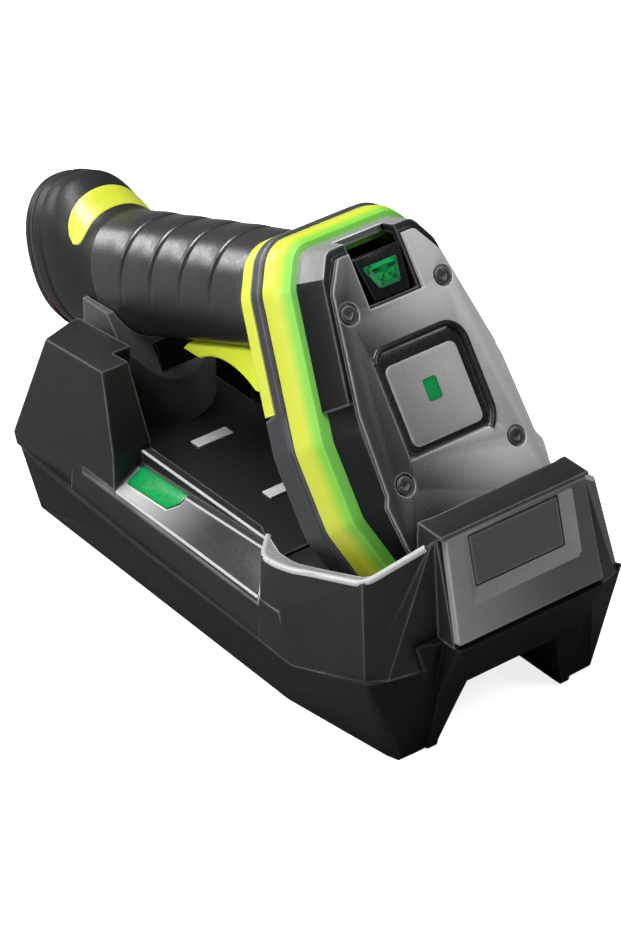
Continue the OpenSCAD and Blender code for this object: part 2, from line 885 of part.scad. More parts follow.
module cradle_cover() {
    color(charcoal)
        difference() {
            union() {
                difference() {
                    union() {
                        intersection() {
                            cup_outside();
                            rim_profile();
                        }
                        mid_body();
                        rear_body(0);
                        front_block(0);
                        translate([-rail_half - 1.4, -30, 25]) cube([2 * rail_half + 2.8, 80, 17]);
                    }
                    below_seam();
                    translate([-cup_half + 1.8, -91, -5])
                        cube([2 * cup_half - 3.6, 172, deck_height - cradle_wall + 5]);
                    translate([-30, -91, -5]) cube([60, 181.5, deck_height - cradle_wall + 5]);
                    intersection() {
                        front_block(cradle_wall + panel_t);
                        translate([-50, -130, -1]) cube([100, 35.5, 200]);
                    }
                    both_sides() translate([rail_half + 3, -40, 20]) cube([5.5, 90, 12.4]);
                }
                intersection() {
                    scanner_way(dock_clearance + cradle_wall);
                    translate([-60, -94, seam_side - 8]) cube([120, 62, 20]);
                }
                boss_places() translate([0, 0, base_bottom + 9.4]) cylinder(h = 23, d = 8, $fn = 48);
            }
            cup_inside();
            scanner_way(dock_clearance);
            handle_way(seat_gap + 1);
            translate([-rail_half + rail_width, -30, deck_height])
                cube([2 * (rail_half - rail_width), 86, 80]);
            translate([-24, 40, deck_height]) cube([48, 50, 80]);
            both_sides() translate([28, 53, 20]) cube([10.5, 26, 38]);
            trim_shape(0.2);
            mirror([1, 0, 0]) trim_shape(0.2);
            lens_shape(0.15);
            boss_places() cylinder(h = 24, d = base_screw_d + 0.04, $fn = 32);
            on_front() {
                translate([-30, -1, -40]) cube([60, 1 + panel_t, 39]);
                translate([-button_half + 1.5, -1, button_low + 1.5])
                    cube([2 * button_half - 3, 20, button_top - button_low - 3]);
            }
            translate([-37.8, 23, 30]) cylinder(h = 8, d = 3.6, $fn = 32);
        }
}

module front_panel() {
    color(trim_grey)
        on_front() difference() {
            translate([0, panel_t, 0]) rotate([90, 0, 0]) linear_extrude(panel_t)
                polygon([[-26.8, -1.2], [26.8, -1.2], [block_half - 0.2, -34.8], [0.2 - block_half, -34.8]]);
            translate([-button_half - run_clearance, -1, button_low - run_clearance])
                cube([2 * (button_half + run_clearance), 10, button_top - button_low + 2 * run_clearance]);
        }
}

module paging_button() {
    color("#85878a")
        on_front() union() {
            translate([-button_half, 0.4, button_low]) cube([2 * button_half, 0.8, button_top - button_low]);
            translate([-button_half + 3, 1.1, button_low + 3])
                cube([2 * button_half - 6, 3, button_top - button_low - 6]);
            translate([0, 5.6, (button_low + button_top) / 2]) rotate([90, 0, 0])
                cylinder(h = 2, d = 4, $fn = 32);
        }
}

module paging_switch() {
    color(black)
        on_front() union() {
            translate([-block_half + cradle_wall + panel_t + seat_gap, 7.2,
                (button_low + button_top) / 2 - 4])
                cube([2 * (block_half - cradle_wall - panel_t - seat_gap), 1, 8]);
            translate([0, 7.3, (button_low + button_top) / 2]) rotate([90, 0, 0])
                cylinder(h = 0.6, d = 3, $fn = 32);
        }
}

module left_trim() {
    color(trim_grey)
        difference() {
            mirror([1, 0, 0]) trim_shape(0);
            lens_shape(0.15);
        }
}

module right_trim() {
    color(trim_grey)
        trim_shape(0);
}

module status_lens() {
    color(green)
        lens_shape(0);
}

module status_board() {
    color("#1d5c38")
        union() {
            translate([-41, 14, 29.6]) cube([4.8, 20, 1]);
            translate([-37.8, 23, 30.5]) cylinder(h = 1.5, d = 3, $fn = 32);
        }
}

// Post under the handle with a seat hollowed to the grip.
module handle_saddle() {
    color(charcoal)
        difference() {
            translate([0, 0, deck_height]) linear_extrude(post_height - deck_height)
                intersection() {
                    translate([0, 83]) circle(r = 24, $fn = 96);
                    translate([-19, 50]) square([38, 38]);
                }
            across(60)
                polygon([[50, 20], [50, 100], [100, 100], [64, 54], [58, 43]]);
            dock() on_handle() hull() {
                handle_solid(-seat_gap, -160, -30);
                translate([0, 40, 10]) handle_solid(-seat_gap, -160, -30);
            }
            dock() on_handle() hull()
                for (y = [0, 40]) {
                    translate([0, y, collar_start + seat_gap]) linear_extrude(slice)
                        handle_section(-seat_gap, handle_foot_depth);
                    translate([0, y, handle_end]) linear_extrude(slice) boot_section(1 - seat_gap);
                }
            contact_pocket(0.1);
            contact_places() translate([0, pad_face - 11, 0]) rotate([-90, 0, 0])
                cylinder(h = 20, d = contact_d + 2 * run_clearance, $fn = 32);
        }
}

module contact_pocket(gap) {
    dock() on_handle()
        translate([-8 - gap, pad_face - 12 - gap, pad_z - 4.4 - gap])
            cube([16 + 2 * gap, 9.2 + gap, 8.8 + 2 * gap]);
}

module contact_block() {
    color(black)
        difference() {
            contact_pocket(0);
            contact_places() translate([0, pad_face - 11, 0]) rotate([-90, 0, 0])
                cylinder(h = 20, d = contact_d + 2 * pin_clearance, $fn = 32);
        }
}

module contact_places() {
    dock() on_handle() for (x = [-4.5, 4.5]) translate([x, 0, pad_z]) children();
}

module contact_pins() {
    color("gold")
        contact_places() translate([0, pad_face - seat_gap - 8, 0]) rotate([-90, 0, 0])
            cylinder(h = 8, d = contact_d, $fn = 32);
}

module deck_pads() {
    color("#d8d9da")
        for (y = [9, 46]) translate([-7, y - 2.2, deck_height]) cube([14, 4.4, 0.8]);
}

module cradle_board() {
    color("#1d5c38")
        union() {
            translate([-27, -20, base_bottom + 6.5]) cube([54, 70, 1.6]);
            translate([-8, 8, base_bottom + 8]) cube([16, 16, 2]);
            translate([-20, 34, base_bottom + 8]) cube([12, 9, 3.4]);
        }
}

module power_inlet() {
    color(black)
        difference() {
            translate([-20, 78, 7]) cube([11, 14, 9]);
            translate([-14.5, 93, 11.5]) rotate([90, 0, 0]) difference() {
                cylinder(h = 10, d = 6.4, $fn = 48);
                translate([0, 0, -1]) cylinder(h = 12, d = 2, $fn = 32);
            }
        }
}

module data_port() {
    color(black)
        difference() {
            translate([8, 78, 7]) cube([15, 14, 10]);
            translate([9.6, 81, 8.2]) cube([11.8, 12, 6.6]);
            translate([12.5, 81, 14]) cube([6, 12, 1.8]);
        }
}

module rubber_feet() {
    color("#1b1b1c")
        foot_places() cylinder(h = 1.5, d = 12, $fn = 64);
}

module base_screws() {
    color("silver")
        boss_places() difference() {
            union() {
                translate([0, 0, 1.2]) cylinder(h = 2.1, d = 5.6, $fn = 48);
                translate([0, 0, 1.2]) cylinder(h = 20, d = base_screw_d, $fn = 32);
            }
            translate([0, 0, 0.2]) cylinder(h = 2.2, d = 2.4, $fn = 6);
        }
}

dock() upper_housing();
dock() top_plate();
dock() plate_screws();
dock() label_plate();
dock() indicator_window();
dock() ring_bumper();
dock() rubber_band();
dock() lower_housing();
dock() nose_frame();
dock() scan_window();
dock() scan_engine();
dock() illumination_board();
dock() main_board();
dock() beeper();
dock() neck_shell();
dock() trigger();
dock() trigger_pin();
dock() trigger_spring();
dock() trigger_switch();
dock() handle_shell();
dock() handle_grip();
dock() handle_collar();
dock() handle_boot();
dock() battery_pack();
dock() battery_cap();
dock() cap_gasket();
dock() lock_screw();
dock() battery_terminals();
dock() charge_pads();
cradle_base();
cradle_cover();
front_panel();
paging_button();
paging_switch();
left_trim();
right_trim();
status_lens();
status_board();
handle_saddle();
deck_pads();
contact_block();
contact_pins();
cradle_board();
power_inlet();
data_port();
rubber_feet();
base_screws();
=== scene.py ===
import json
import math

import bmesh
import bpy
import numpy as np
from bpy.props import FloatProperty, FloatVectorProperty, IntProperty, PointerProperty
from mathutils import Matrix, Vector


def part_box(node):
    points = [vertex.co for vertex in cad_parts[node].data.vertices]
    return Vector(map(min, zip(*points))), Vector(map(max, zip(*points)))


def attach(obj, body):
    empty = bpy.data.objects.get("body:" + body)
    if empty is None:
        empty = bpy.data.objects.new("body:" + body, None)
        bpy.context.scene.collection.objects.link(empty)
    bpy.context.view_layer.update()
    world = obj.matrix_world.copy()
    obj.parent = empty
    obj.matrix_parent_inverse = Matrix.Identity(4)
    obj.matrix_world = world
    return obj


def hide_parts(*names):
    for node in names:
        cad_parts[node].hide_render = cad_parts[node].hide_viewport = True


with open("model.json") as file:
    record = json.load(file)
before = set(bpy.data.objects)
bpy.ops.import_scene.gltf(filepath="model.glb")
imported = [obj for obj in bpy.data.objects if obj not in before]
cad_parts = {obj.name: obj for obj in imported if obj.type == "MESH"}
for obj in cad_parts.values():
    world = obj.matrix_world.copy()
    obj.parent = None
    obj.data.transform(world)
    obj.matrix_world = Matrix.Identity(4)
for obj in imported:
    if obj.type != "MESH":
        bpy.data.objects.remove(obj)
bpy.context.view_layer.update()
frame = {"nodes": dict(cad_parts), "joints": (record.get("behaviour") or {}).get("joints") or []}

bl_info = {
    "name": "Docked Handheld Scanner",
    "version": (1, 0, 0),
    "blender": (4, 5, 0),
    "location": "View3D > Sidebar > Scanner",
    "description": "Builds the shells, grip, cradle and finishes of a cordless scanner in its cradle",
    "category": "Object",
}

MM = 0.001
JOINTS = {joint["name"]: joint for joint in frame["joints"]}


def unit(vector):
    """The vector at length one."""
    vector = np.array(vector, float)
    return vector / np.linalg.norm(vector)


# The scanner's own directions: up its head from the nose, out of its top plate, along its
# handle to the foot, and out of the handle's back.
ACROSS = np.array([1.0, 0.0, 0.0])
NOSE_UP = unit(JOINTS["scanner_lift"]["axis"])
FACE_OUT = np.array([0.0, -NOSE_UP[2], NOSE_UP[1]])
FOOT_WAY = unit(JOINTS["battery_slide"]["axis"])
BACK_WAY = np.array([0.0, -FOOT_WAY[2], FOOT_WAY[1]])
PIVOT = np.array(JOINTS["trigger_pull"]["pos_m"])
HEAD_ORIGIN = PIVOT - 0.087 * NOSE_UP + 0.062 * FACE_OUT
HANDLE_ORIGIN = HEAD_ORIGIN + 0.1025 * NOSE_UP - 0.040 * FACE_OUT
# The front panel's own directions: out of its face, up it, and the middle of its foot.
PANEL_OUT = -unit(JOINTS["button_press"]["axis"])
PANEL_UP = np.array([0.0, PANEL_OUT[2], -PANEL_OUT[1]])
PANEL_THICK = 2.4
PANEL_FOOT = np.array([0.0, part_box("front_panel")[0].y,
                       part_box("front_panel")[0].z + PANEL_THICK * MM * PANEL_OUT[2]])


# --- Sizes and colours ------------------------------------------------------------


class HeadSizes(bpy.types.PropertyGroup):
    """Sizes of the scanner's head."""
    width: FloatProperty(
        name="Head width", description="Width over the rubber band", unit="LENGTH",
        default=2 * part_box("rubber_band")[1].x)
    length: FloatProperty(
        name="Head length", description="From the nose face to the crown", unit="LENGTH", default=0.1235)
    corner: FloatProperty(
        name="Corner radius", description="Radius of the head's corners in plan", unit="LENGTH",
        default=0.0128)
    edge: FloatProperty(
        name="Edge radius", description="Rounding of the moulded edges", unit="LENGTH", default=0.0006)
    steps: IntProperty(name="Steps", description="Points round the head", default=260, min=64)


class GripSizes(bpy.types.PropertyGroup):
    """Sizes of the handle and its rubber."""
    width: FloatProperty(
        name="Grip width", description="Width of the handle over its rubber", unit="LENGTH",
        default=2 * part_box("handle_grip")[1].x)
    depth_top: FloatProperty(
        name="Depth at the neck", description="Front to back at the neck", unit="LENGTH", default=0.036)
    depth_foot: FloatProperty(
        name="Depth at the foot", description="Front to back at the foot", unit="LENGTH", default=0.041)
    rib_depth: FloatProperty(
        name="Rib depth", description="Depth of the grooves between the grip's ribs", unit="LENGTH",
        default=0.0012)
    rib_gap: FloatProperty(
        name="Rib spacing", description="Distance between the grooves", unit="LENGTH", default=0.0165)


class CradleSizes(bpy.types.PropertyGroup):
    """Roundings of the cradle's mouldings."""
    edge: FloatProperty(
        name="Edge radius", description="Rounding of the shells' edges", unit="LENGTH", default=0.0009)
    corner: FloatProperty(
        name="Corner radius", description="Rounding of the shells' upright corners", unit="LENGTH",
        default=0.0045)
    trim_edge: FloatProperty(
        name="Trim edge radius", description="Rounding of the trims' edges", unit="LENGTH", default=0.0004)


class Finishes(bpy.types.PropertyGroup):
    """Colours of the mouldings."""
    lime: FloatVectorProperty(
        name="Lime", description="Yellow-green mouldings", subtype="COLOR", size=3, min=0, max=1,
        default=(0.40, 0.44, 0.025))
    lime_shade: FloatVectorProperty(
        name="Lime shoulder in painted shade", description="The bumper's inner shoulder, lime in painted shade", subtype="COLOR", size=3,
        min=0, max=1, default=(0.09, 0.33, 0.03))
    charcoal: FloatVectorProperty(
        name="Charcoal", description="Main dark plastic", subtype="COLOR", size=3, min=0, max=1,
        default=(0.010, 0.0103, 0.0108))
    black: FloatVectorProperty(
        name="Black", description="Blackest mouldings", subtype="COLOR", size=3, min=0, max=1,
        default=(0.003, 0.003, 0.0034))
    plate: FloatVectorProperty(
        name="Plate grey", description="Top plate", subtype="COLOR", size=3, min=0, max=1,
        default=(0.025, 0.0255, 0.027))
    trim: FloatVectorProperty(
        name="Trim grey", description="Side trims of the cradle", subtype="COLOR", size=3, min=0, max=1,
        default=(0.02, 0.0205, 0.021))
    green: FloatVectorProperty(
        name="Signal green", description="Lens and indicator", subtype="COLOR", size=3, min=0, max=1,
        default=(0.002, 0.20, 0.045))


class StageSizes(bpy.types.PropertyGroup):
    """Size of the floor and strength of the lamps."""
    floor: FloatProperty(name="Floor size", description="Side of the floor", unit="LENGTH", default=30.0)
    lamp: FloatProperty(name="Lamp level", description="Factor on every lamp's power", default=1.0, min=0)


# Millimetres out of the head's plate: where the bumper meets the rubber band, the
# band's back, and the neck's ring under the head.
BAND_TOP = -24.0
BAND_BACK = -36.0
NECK_TOP = -38.0
# Where the neck's lime rim takes over from the rubber band, up the head and out of the plate.
RIM_FRONT = 74.2
RIM_TOP = -29.2
# The middle of the neck's ring, up the head.
NECK_MIDDLE = 94.4
# The trigger's slot: how far up the head its floor lies at its upper and its lower end, how far out
# of the plate those ends are, and half its width.
SLOT_FLOOR = (97.5, 110.5)
SLOT_OUT = (-60.0, -114.0)
SLOT_HALF = 8.0
# Millimetres down the handle between which it deepens from the neck to the foot.
TAPER = (18.0, 130.5)
# How square the handle's ovals are at the grip and at the boot: 1 is a plain ellipse.
GRIP_POWER = 0.86
BOOT_POWER = 0.88
# Halves of the boot's section in millimetres where it leaves the grip and at its rim, and how far
# the rim's middle lies back from the handle's line.
BOOT_START = (16.9, 19.9)
BOOT_RIM = (18.5, 26.0)
BOOT_BACK = 6.0

# Centre line of the pale bead round the left half of the cup's rim, in millimetres in the frame; the bead's
# pale grey is a painted highlight.
CUP_RIM = [(-34.4, -27.0, 43.4), (-42.0, -34.8, 45.3), (-44.5, -38.0, 46.2), (-45.6, -42.5, 47.3),
           (-45.8, -52.0, 49.7), (-45.2, -62.0, 53.3), (-44.7, -84.2, 61.6), (-43.6, -85.9, 62.7),
           (-30.4, -96.1, 74.6)]

# The same for the rail's outer edge, its inner edge and the wall beside the deck.
RAIL_EDGE = [(-48.3, -39.6, 34.1), (-46.9, -5.0, 33.0), (-45.4, 35.5, 31.7)]
TRIM_EDGE = [(-36.4, -28.0, 40.1), (-36.4, 46.0, 36.1)]
DECK_WALL = [(-34.3, -25.6, 42.0), (-34.3, 46.0, 42.0)]

# --- Places and outlines ------------------------------------------------------------


def head_place(across, along, out):
    """Places in the shared frame of points given by the head's directions in millimetres:
    origin + across * X + along * (up the head) + out * (out of the plate)."""
    across, along, out = np.broadcast_arrays(across, along, out)
    return HEAD_ORIGIN + MM * (
        across[..., None] * ACROSS + along[..., None] * NOSE_UP + out[..., None] * FACE_OUT)


def handle_place(across, back, down):
    """Places in the shared frame of points given by the handle's directions in millimetres:
    origin + across * X + back * (out of its back) + down * (towards its foot)."""
    across, back, down = np.broadcast_arrays(across, back, down)
    return HANDLE_ORIGIN + MM * (
        across[..., None] * ACROSS + back[..., None] * BACK_WAY + down[..., None] * FOOT_WAY)


def panel_place(across, up, out):
    """Places in the shared frame of points given on the front panel's face in millimetres:
    foot + across * X + up * (up the panel) + out * (out of its face)."""
    across, up, out = np.broadcast_arrays(across, up, out)
    return PANEL_FOOT + MM * (
        across[..., None] * ACROSS + up[..., None] * PANEL_UP + out[..., None] * PANEL_OUT)


def smooth_step(value, low, high):
    """0 below low, 1 above high, and 3t^2 - 2t^3 between."""
    t = np.clip((np.asarray(value, float) - low) / (high - low), 0.0, 1.0)
    return t * t * (3.0 - 2.0 * t)


def fillet_loop(corners, radii, arc_steps=10):
    """A closed polygon with each corner replaced by an arc of its radius, whose centre lies on the
    corner's bisector at radius / sin(half the corner's angle)."""
    corners = np.array(corners, float)
    radii = np.broadcast_to(np.array(radii, float), (len(corners),))
    pieces = []
    for i, corner in enumerate(corners):
        before = unit(corners[i - 1] - corner)
        after = unit(corners[(i + 1) % len(corners)] - corner)
        half = 0.5 * math.acos(float(np.clip(before @ after, -1, 1)))
        reach = radii[i] / math.tan(half)
        centre = corner + unit(before + after) * radii[i] / math.sin(half)
        start, end = corner + before * reach - centre, corner + after * reach - centre
        first = math.atan2(start[1], start[0])
        turn = (math.atan2(end[1], end[0]) - first + math.pi) % (2 * math.pi) - math.pi
        angle = first + turn * np.linspace(0, 1, arc_steps)
        pieces.append(centre + radii[i] * np.stack([np.cos(angle), np.sin(angle)], -1))
    return np.concatenate(pieces)


def even_loop(loop, count):
    """The closed loop again with evenly spaced points, by its length along itself."""
    closed = np.vstack([loop, loop[:1]])
    run = np.concatenate([[0], np.cumsum(np.linalg.norm(np.diff(closed, axis=0), axis=1))])
    want = np.linspace(0, run[-1], count, endpoint=False)
    return np.stack([np.interp(want, run, closed[:, k]) for k in range(closed.shape[1])], -1)


def inward(loop):
    """Unit normals that point into a counter-clockwise closed loop."""
    along = np.roll(loop, -1, axis=0) - np.roll(loop, 1, axis=0)
    along /= np.linalg.norm(along, axis=1, keepdims=True)
    return np.stack([-along[:, 1], along[:, 0]], -1)


def head_outline(sizes):
    """Plan of the head in millimetres, widest at mid length and narrow at the crown."""
    half, length = sizes.width / 2 / MM, sizes.length / MM
    right = [(28, 0), (half, 36), (half, 62), (half - 9.5, length - 14), (half - 18, length)]
    corners = right + [(-x, y) for x, y in reversed(right)]
    return even_loop(fillet_loop(corners, sizes.corner / MM), sizes.steps)


def oval(half_width, half_depth, power, turn):
    """Softened ellipse: (a * sign(cos) |cos|^power, b * sign(sin) |sin|^power)."""
    c, s = np.cos(turn), np.sin(turn)
    return (half_width * np.sign(c) * np.abs(c) ** power, half_depth * np.sign(s) * np.abs(s) ** power)


# --- Meshes ---------------------------------------------------------------------------


def link(name, mesh):
    """A linked object at the origin with the mesh."""
    piece = bpy.data.objects.new(name, mesh)
    bpy.context.scene.collection.objects.link(piece)
    return piece


def grid_piece(name, grid, close_rows=False, close_columns=False, row_material=None, sharp=50.0):
    """A mesh over a rows x columns grid of points: quad (i, j) joins points (i, j), (i, j + 1),
    (i + 1, j + 1), (i + 1, j), with wrap-round where closed; points that meet are merged."""
    rows, columns = grid.shape[:2]
    i = np.arange(rows if close_rows else rows - 1)[:, None]
    j = np.arange(columns if close_columns else columns - 1)[None, :]
    i2, j2 = (i + 1) % rows, (j + 1) % columns
    quads = np.stack([i * columns + j, i * columns + j2, i2 * columns + j2, i2 * columns + j], -1)
    mesh = bpy.data.meshes.new(name)
    mesh.from_pydata(grid.reshape(-1, 3).tolist(), [], quads.reshape(-1, 4).tolist())
    if row_material is not None:
        index = np.repeat(np.asarray(row_material, np.int32)[: quads.shape[0]], quads.shape[1])
        mesh.polygons.foreach_set("material_index", index)
    tidy(mesh)
    shade(mesh, sharp)
    return link(name, mesh)


def tidy(mesh, join_flats=False):
    """Merges points that meet, drops faces with no area, joins triangles in one plane if asked, and
    turns the faces of a closed mesh outwards."""
    work = bmesh.new()
    work.from_mesh(mesh)
    bmesh.ops.remove_doubles(work, verts=work.verts, dist=1e-6)
    bmesh.ops.dissolve_degenerate(work, edges=work.edges, dist=1e-6)
    if join_flats:
        bmesh.ops.dissolve_limit(work, angle_limit=math.radians(0.8), verts=work.verts, edges=work.edges)
    bmesh.ops.recalc_face_normals(work, faces=work.faces)
    work.to_mesh(mesh)
    work.free()


def shade(mesh, sharp):
    """Smooth shading, with edges sharper than the angle kept sharp."""
    mesh.polygons.foreach_set("use_smooth", np.ones(len(mesh.polygons), bool))
    mesh.set_sharp_from_angle(angle=math.radians(sharp))
    mesh.update()


def capped(grid, rounds=2):
    """The grid with both ends closed by rows that shrink linearly to each end row's mean."""
    def cap(row):
        """Rows from the mean of a ring out towards it."""
        middle = row.mean(0, keepdims=True)
        share = np.linspace(0, 1, rounds + 1)[:-1, None, None]
        return middle + share * (row[None] - middle)
    return np.concatenate([cap(grid[0]), grid, cap(grid[-1])[::-1]])


def end_closed(grid):
    """The grid with one more column at each end, where every point is that end column's mean."""
    first, last = (np.broadcast_to(grid[:, k].mean(0), grid[:, :1].shape) for k in (0, -1))
    return np.concatenate([first, grid, last], 1)


def closed_tube(name, grid, sharp=50.0):
    """A piece over rows that each run round a ring, closed at both ends."""
    return grid_piece(name, capped(grid), close_columns=True, sharp=sharp)


def closed_strip(name, grid, sharp=50.0):
    """A piece over rows that together run round its section, closed at both ends."""
    return grid_piece(name, end_closed(grid), close_rows=True, sharp=sharp)


def closed_ring(name, grid, row_material=None, sharp=50.0):
    """A piece that closes on itself both ways."""
    return grid_piece(name, grid, close_rows=True, close_columns=True, row_material=row_material, sharp=sharp)


def bead(name, line, radius, turns=14):
    """A tube along a line of points: point (i, j) = line_i + radius (cos a_j side_i + sin a_j rise_i),
    where side is square to the line and level, and rise is square to both. The line is first spaced
    evenly and smoothed by a running mean of seven points."""
    line = np.asarray(line, float)
    run = np.concatenate([[0], np.cumsum(np.linalg.norm(np.diff(line, axis=0), axis=1))])
    want = np.linspace(0, run[-1], 90)
    line = np.stack([np.interp(want, run, line[:, k]) for k in range(3)], -1)
    weights = np.ones(7) / 7
    inner = np.stack([np.convolve(line[:, k], weights, "valid") for k in range(3)], -1)
    line = np.concatenate([line[:3], inner, line[-3:]])
    along = np.gradient(line, axis=0)
    along /= np.linalg.norm(along, axis=1, keepdims=True)
    side = np.cross(along, (0, 0, 1.0))
    side /= np.linalg.norm(side, axis=1, keepdims=True)
    rise = np.cross(side, along)
    angle = np.linspace(0, 2 * math.pi, turns, endpoint=False)[None, :, None]
    grid = line[:, None] + radius * (np.cos(angle) * side[:, None] + np.sin(angle) * rise[:, None])
    return closed_tube(name, grid)


def rounded_copy(source, name, radius, angle=30.0, segments=3):
    """A merged copy of a CAD node with every edge over the angle rounded by the radius."""
    mesh = frame["nodes"][source].data.copy()
    mesh.name = name
    mesh.materials.clear()
    tidy(mesh, join_flats=True)
    shade(mesh, 180.0)
    piece = link(name, mesh)
    round_edges(piece, radius, angle, segments)
    return piece


def soften_corners(mesh, radius, shortest, steepness=0.35, flattest=13.0):
    """Rounds the long, outward and steep edges with a larger radius: those longer than shortest whose
    rise is over steepness times their length and whose faces turn by more than flattest degrees."""
    work = bmesh.new()
    work.from_mesh(mesh)
    chosen = []
    for edge in work.edges:
        if len(edge.link_faces) == 2 and edge.is_convex and edge.calc_length() > shortest:
            rise = abs(edge.verts[0].co.z - edge.verts[1].co.z) / edge.calc_length()
            if rise > steepness and math.degrees(edge.calc_face_angle()) > flattest:
                chosen.append(edge)
    bmesh.ops.bevel(work, geom=chosen, offset=radius, offset_type="OFFSET", segments=5, profile=0.5,
                    affect="EDGES", clamp_overlap=True)
    bmesh.ops.recalc_face_normals(work, faces=work.faces)
    work.to_mesh(mesh)
    work.free()
    shade(mesh, 180.0)


def round_edges(piece, radius, angle=30.0, segments=3):
    """A bevel of the radius on every edge over the angle."""
    bevel = piece.modifiers.new("Rounded edges", "BEVEL")
    bevel.width = radius
    bevel.segments = segments
    bevel.limit_method = "ANGLE"
    bevel.angle_limit = math.radians(angle)
    bevel.use_clamp_overlap = True
    bevel.harden_normals = True
    bevel.miter_outer = "MITER_ARC"


def dress(piece, body, slot, names, *nodes):
    """Gives a piece its body and its finishes by name, and hides the CAD nodes it stands for. The slot is not
    used.
    """
    for name in names.split():
        piece.data.materials.append(FINISHES[name])
    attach(piece, body)
    if nodes:
        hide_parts(*nodes)
    return piece


def mark_faces(mesh, index, rule):
    """Gives the faces that the rule picks, from their centres and normals, another material index."""
    count = len(mesh.polygons)
    centre, normal = np.empty(count * 3), np.empty(count * 3)
    mesh.polygons.foreach_get("center", centre)
    mesh.polygons.foreach_get("normal", normal)
    picked = rule(centre.reshape(-1, 3), normal.reshape(-1, 3))
    mesh.polygons.foreach_set("material_index", np.where(picked, index, 0).astype(np.int32))
    mesh.update()


def paint_nodes(**names):
    """Gives each named CAD node, which keeps its shape, the named finish."""
    for source, name in names.items():
        mesh = frame["nodes"][source].data
        mesh.materials.clear()
        mesh.materials.append(FINISHES[name])


# --- Finishes -----------------------------------------------------------------------------


def shader_group(name, inputs, outputs):
    """A new shader node group with named sockets; returns it with its input and output nodes."""
    group = bpy.data.node_groups.new(name, "ShaderNodeTree")
    for label, kind, value in inputs:
        socket = group.interface.new_socket(name=label, in_out="INPUT", socket_type=kind)
        if value is not None:
            socket.default_value = value
    for label, kind in outputs:
        group.interface.new_socket(name=label, in_out="OUTPUT", socket_type=kind)
    return group, group.nodes.new("NodeGroupInput"), group.nodes.new("NodeGroupOutput")


def feed(tree, socket, value):
    """Links an input to the value if that is another node's output, and else sets it."""
    if isinstance(value, bpy.types.NodeSocket):
        tree.links.new(value, socket)
    else:
        socket.default_value = value


def node(tree, kind, settings=(), **values):
    """A node of the kind with its settings, and its named inputs fed with the values."""
    made = tree.nodes.new(kind)
    for key, value in dict(settings).items():
        setattr(made, key, value)
    for key, value in values.items():
        feed(tree, made.inputs[key.replace("_", " ")], value)
    return made


def calc(tree, operation, *values, clamp=False):
    """The result of one step of arithmetic on outputs and numbers."""
    made = node(tree, "ShaderNodeMath", {"operation": operation, "use_clamp": clamp})
    for socket, value in zip(made.inputs, values):
        feed(tree, socket, value)
    return made.outputs[0]


def dot(tree, first, second):
    """The dot product of two vectors."""
    made = node(tree, "ShaderNodeVectorMath", {"operation": "DOT_PRODUCT"})
    feed(tree, made.inputs[0], first)
    feed(tree, made.inputs[1], second)
    return made.outputs["Value"]


def mixed(tree, share, first, second):
    """The colour that goes from the first to the second with the share."""
    made = node(tree, "ShaderNodeMix", {"data_type": "RGBA"})
    for index, value in ((0, share), (6, first), (7, second)):
        feed(tree, made.inputs[index], value)
    return made.outputs[2]


def span(tree, value, low, high, to_low, to_high):
    """The value, clamped to low..high and mapped straight to to_low..to_high."""
    return node(tree, "ShaderNodeMapRange", {"clamp": True}, Value=value,
                From_Min=low, From_Max=high, To_Min=to_low, To_Max=to_high).outputs["Result"]


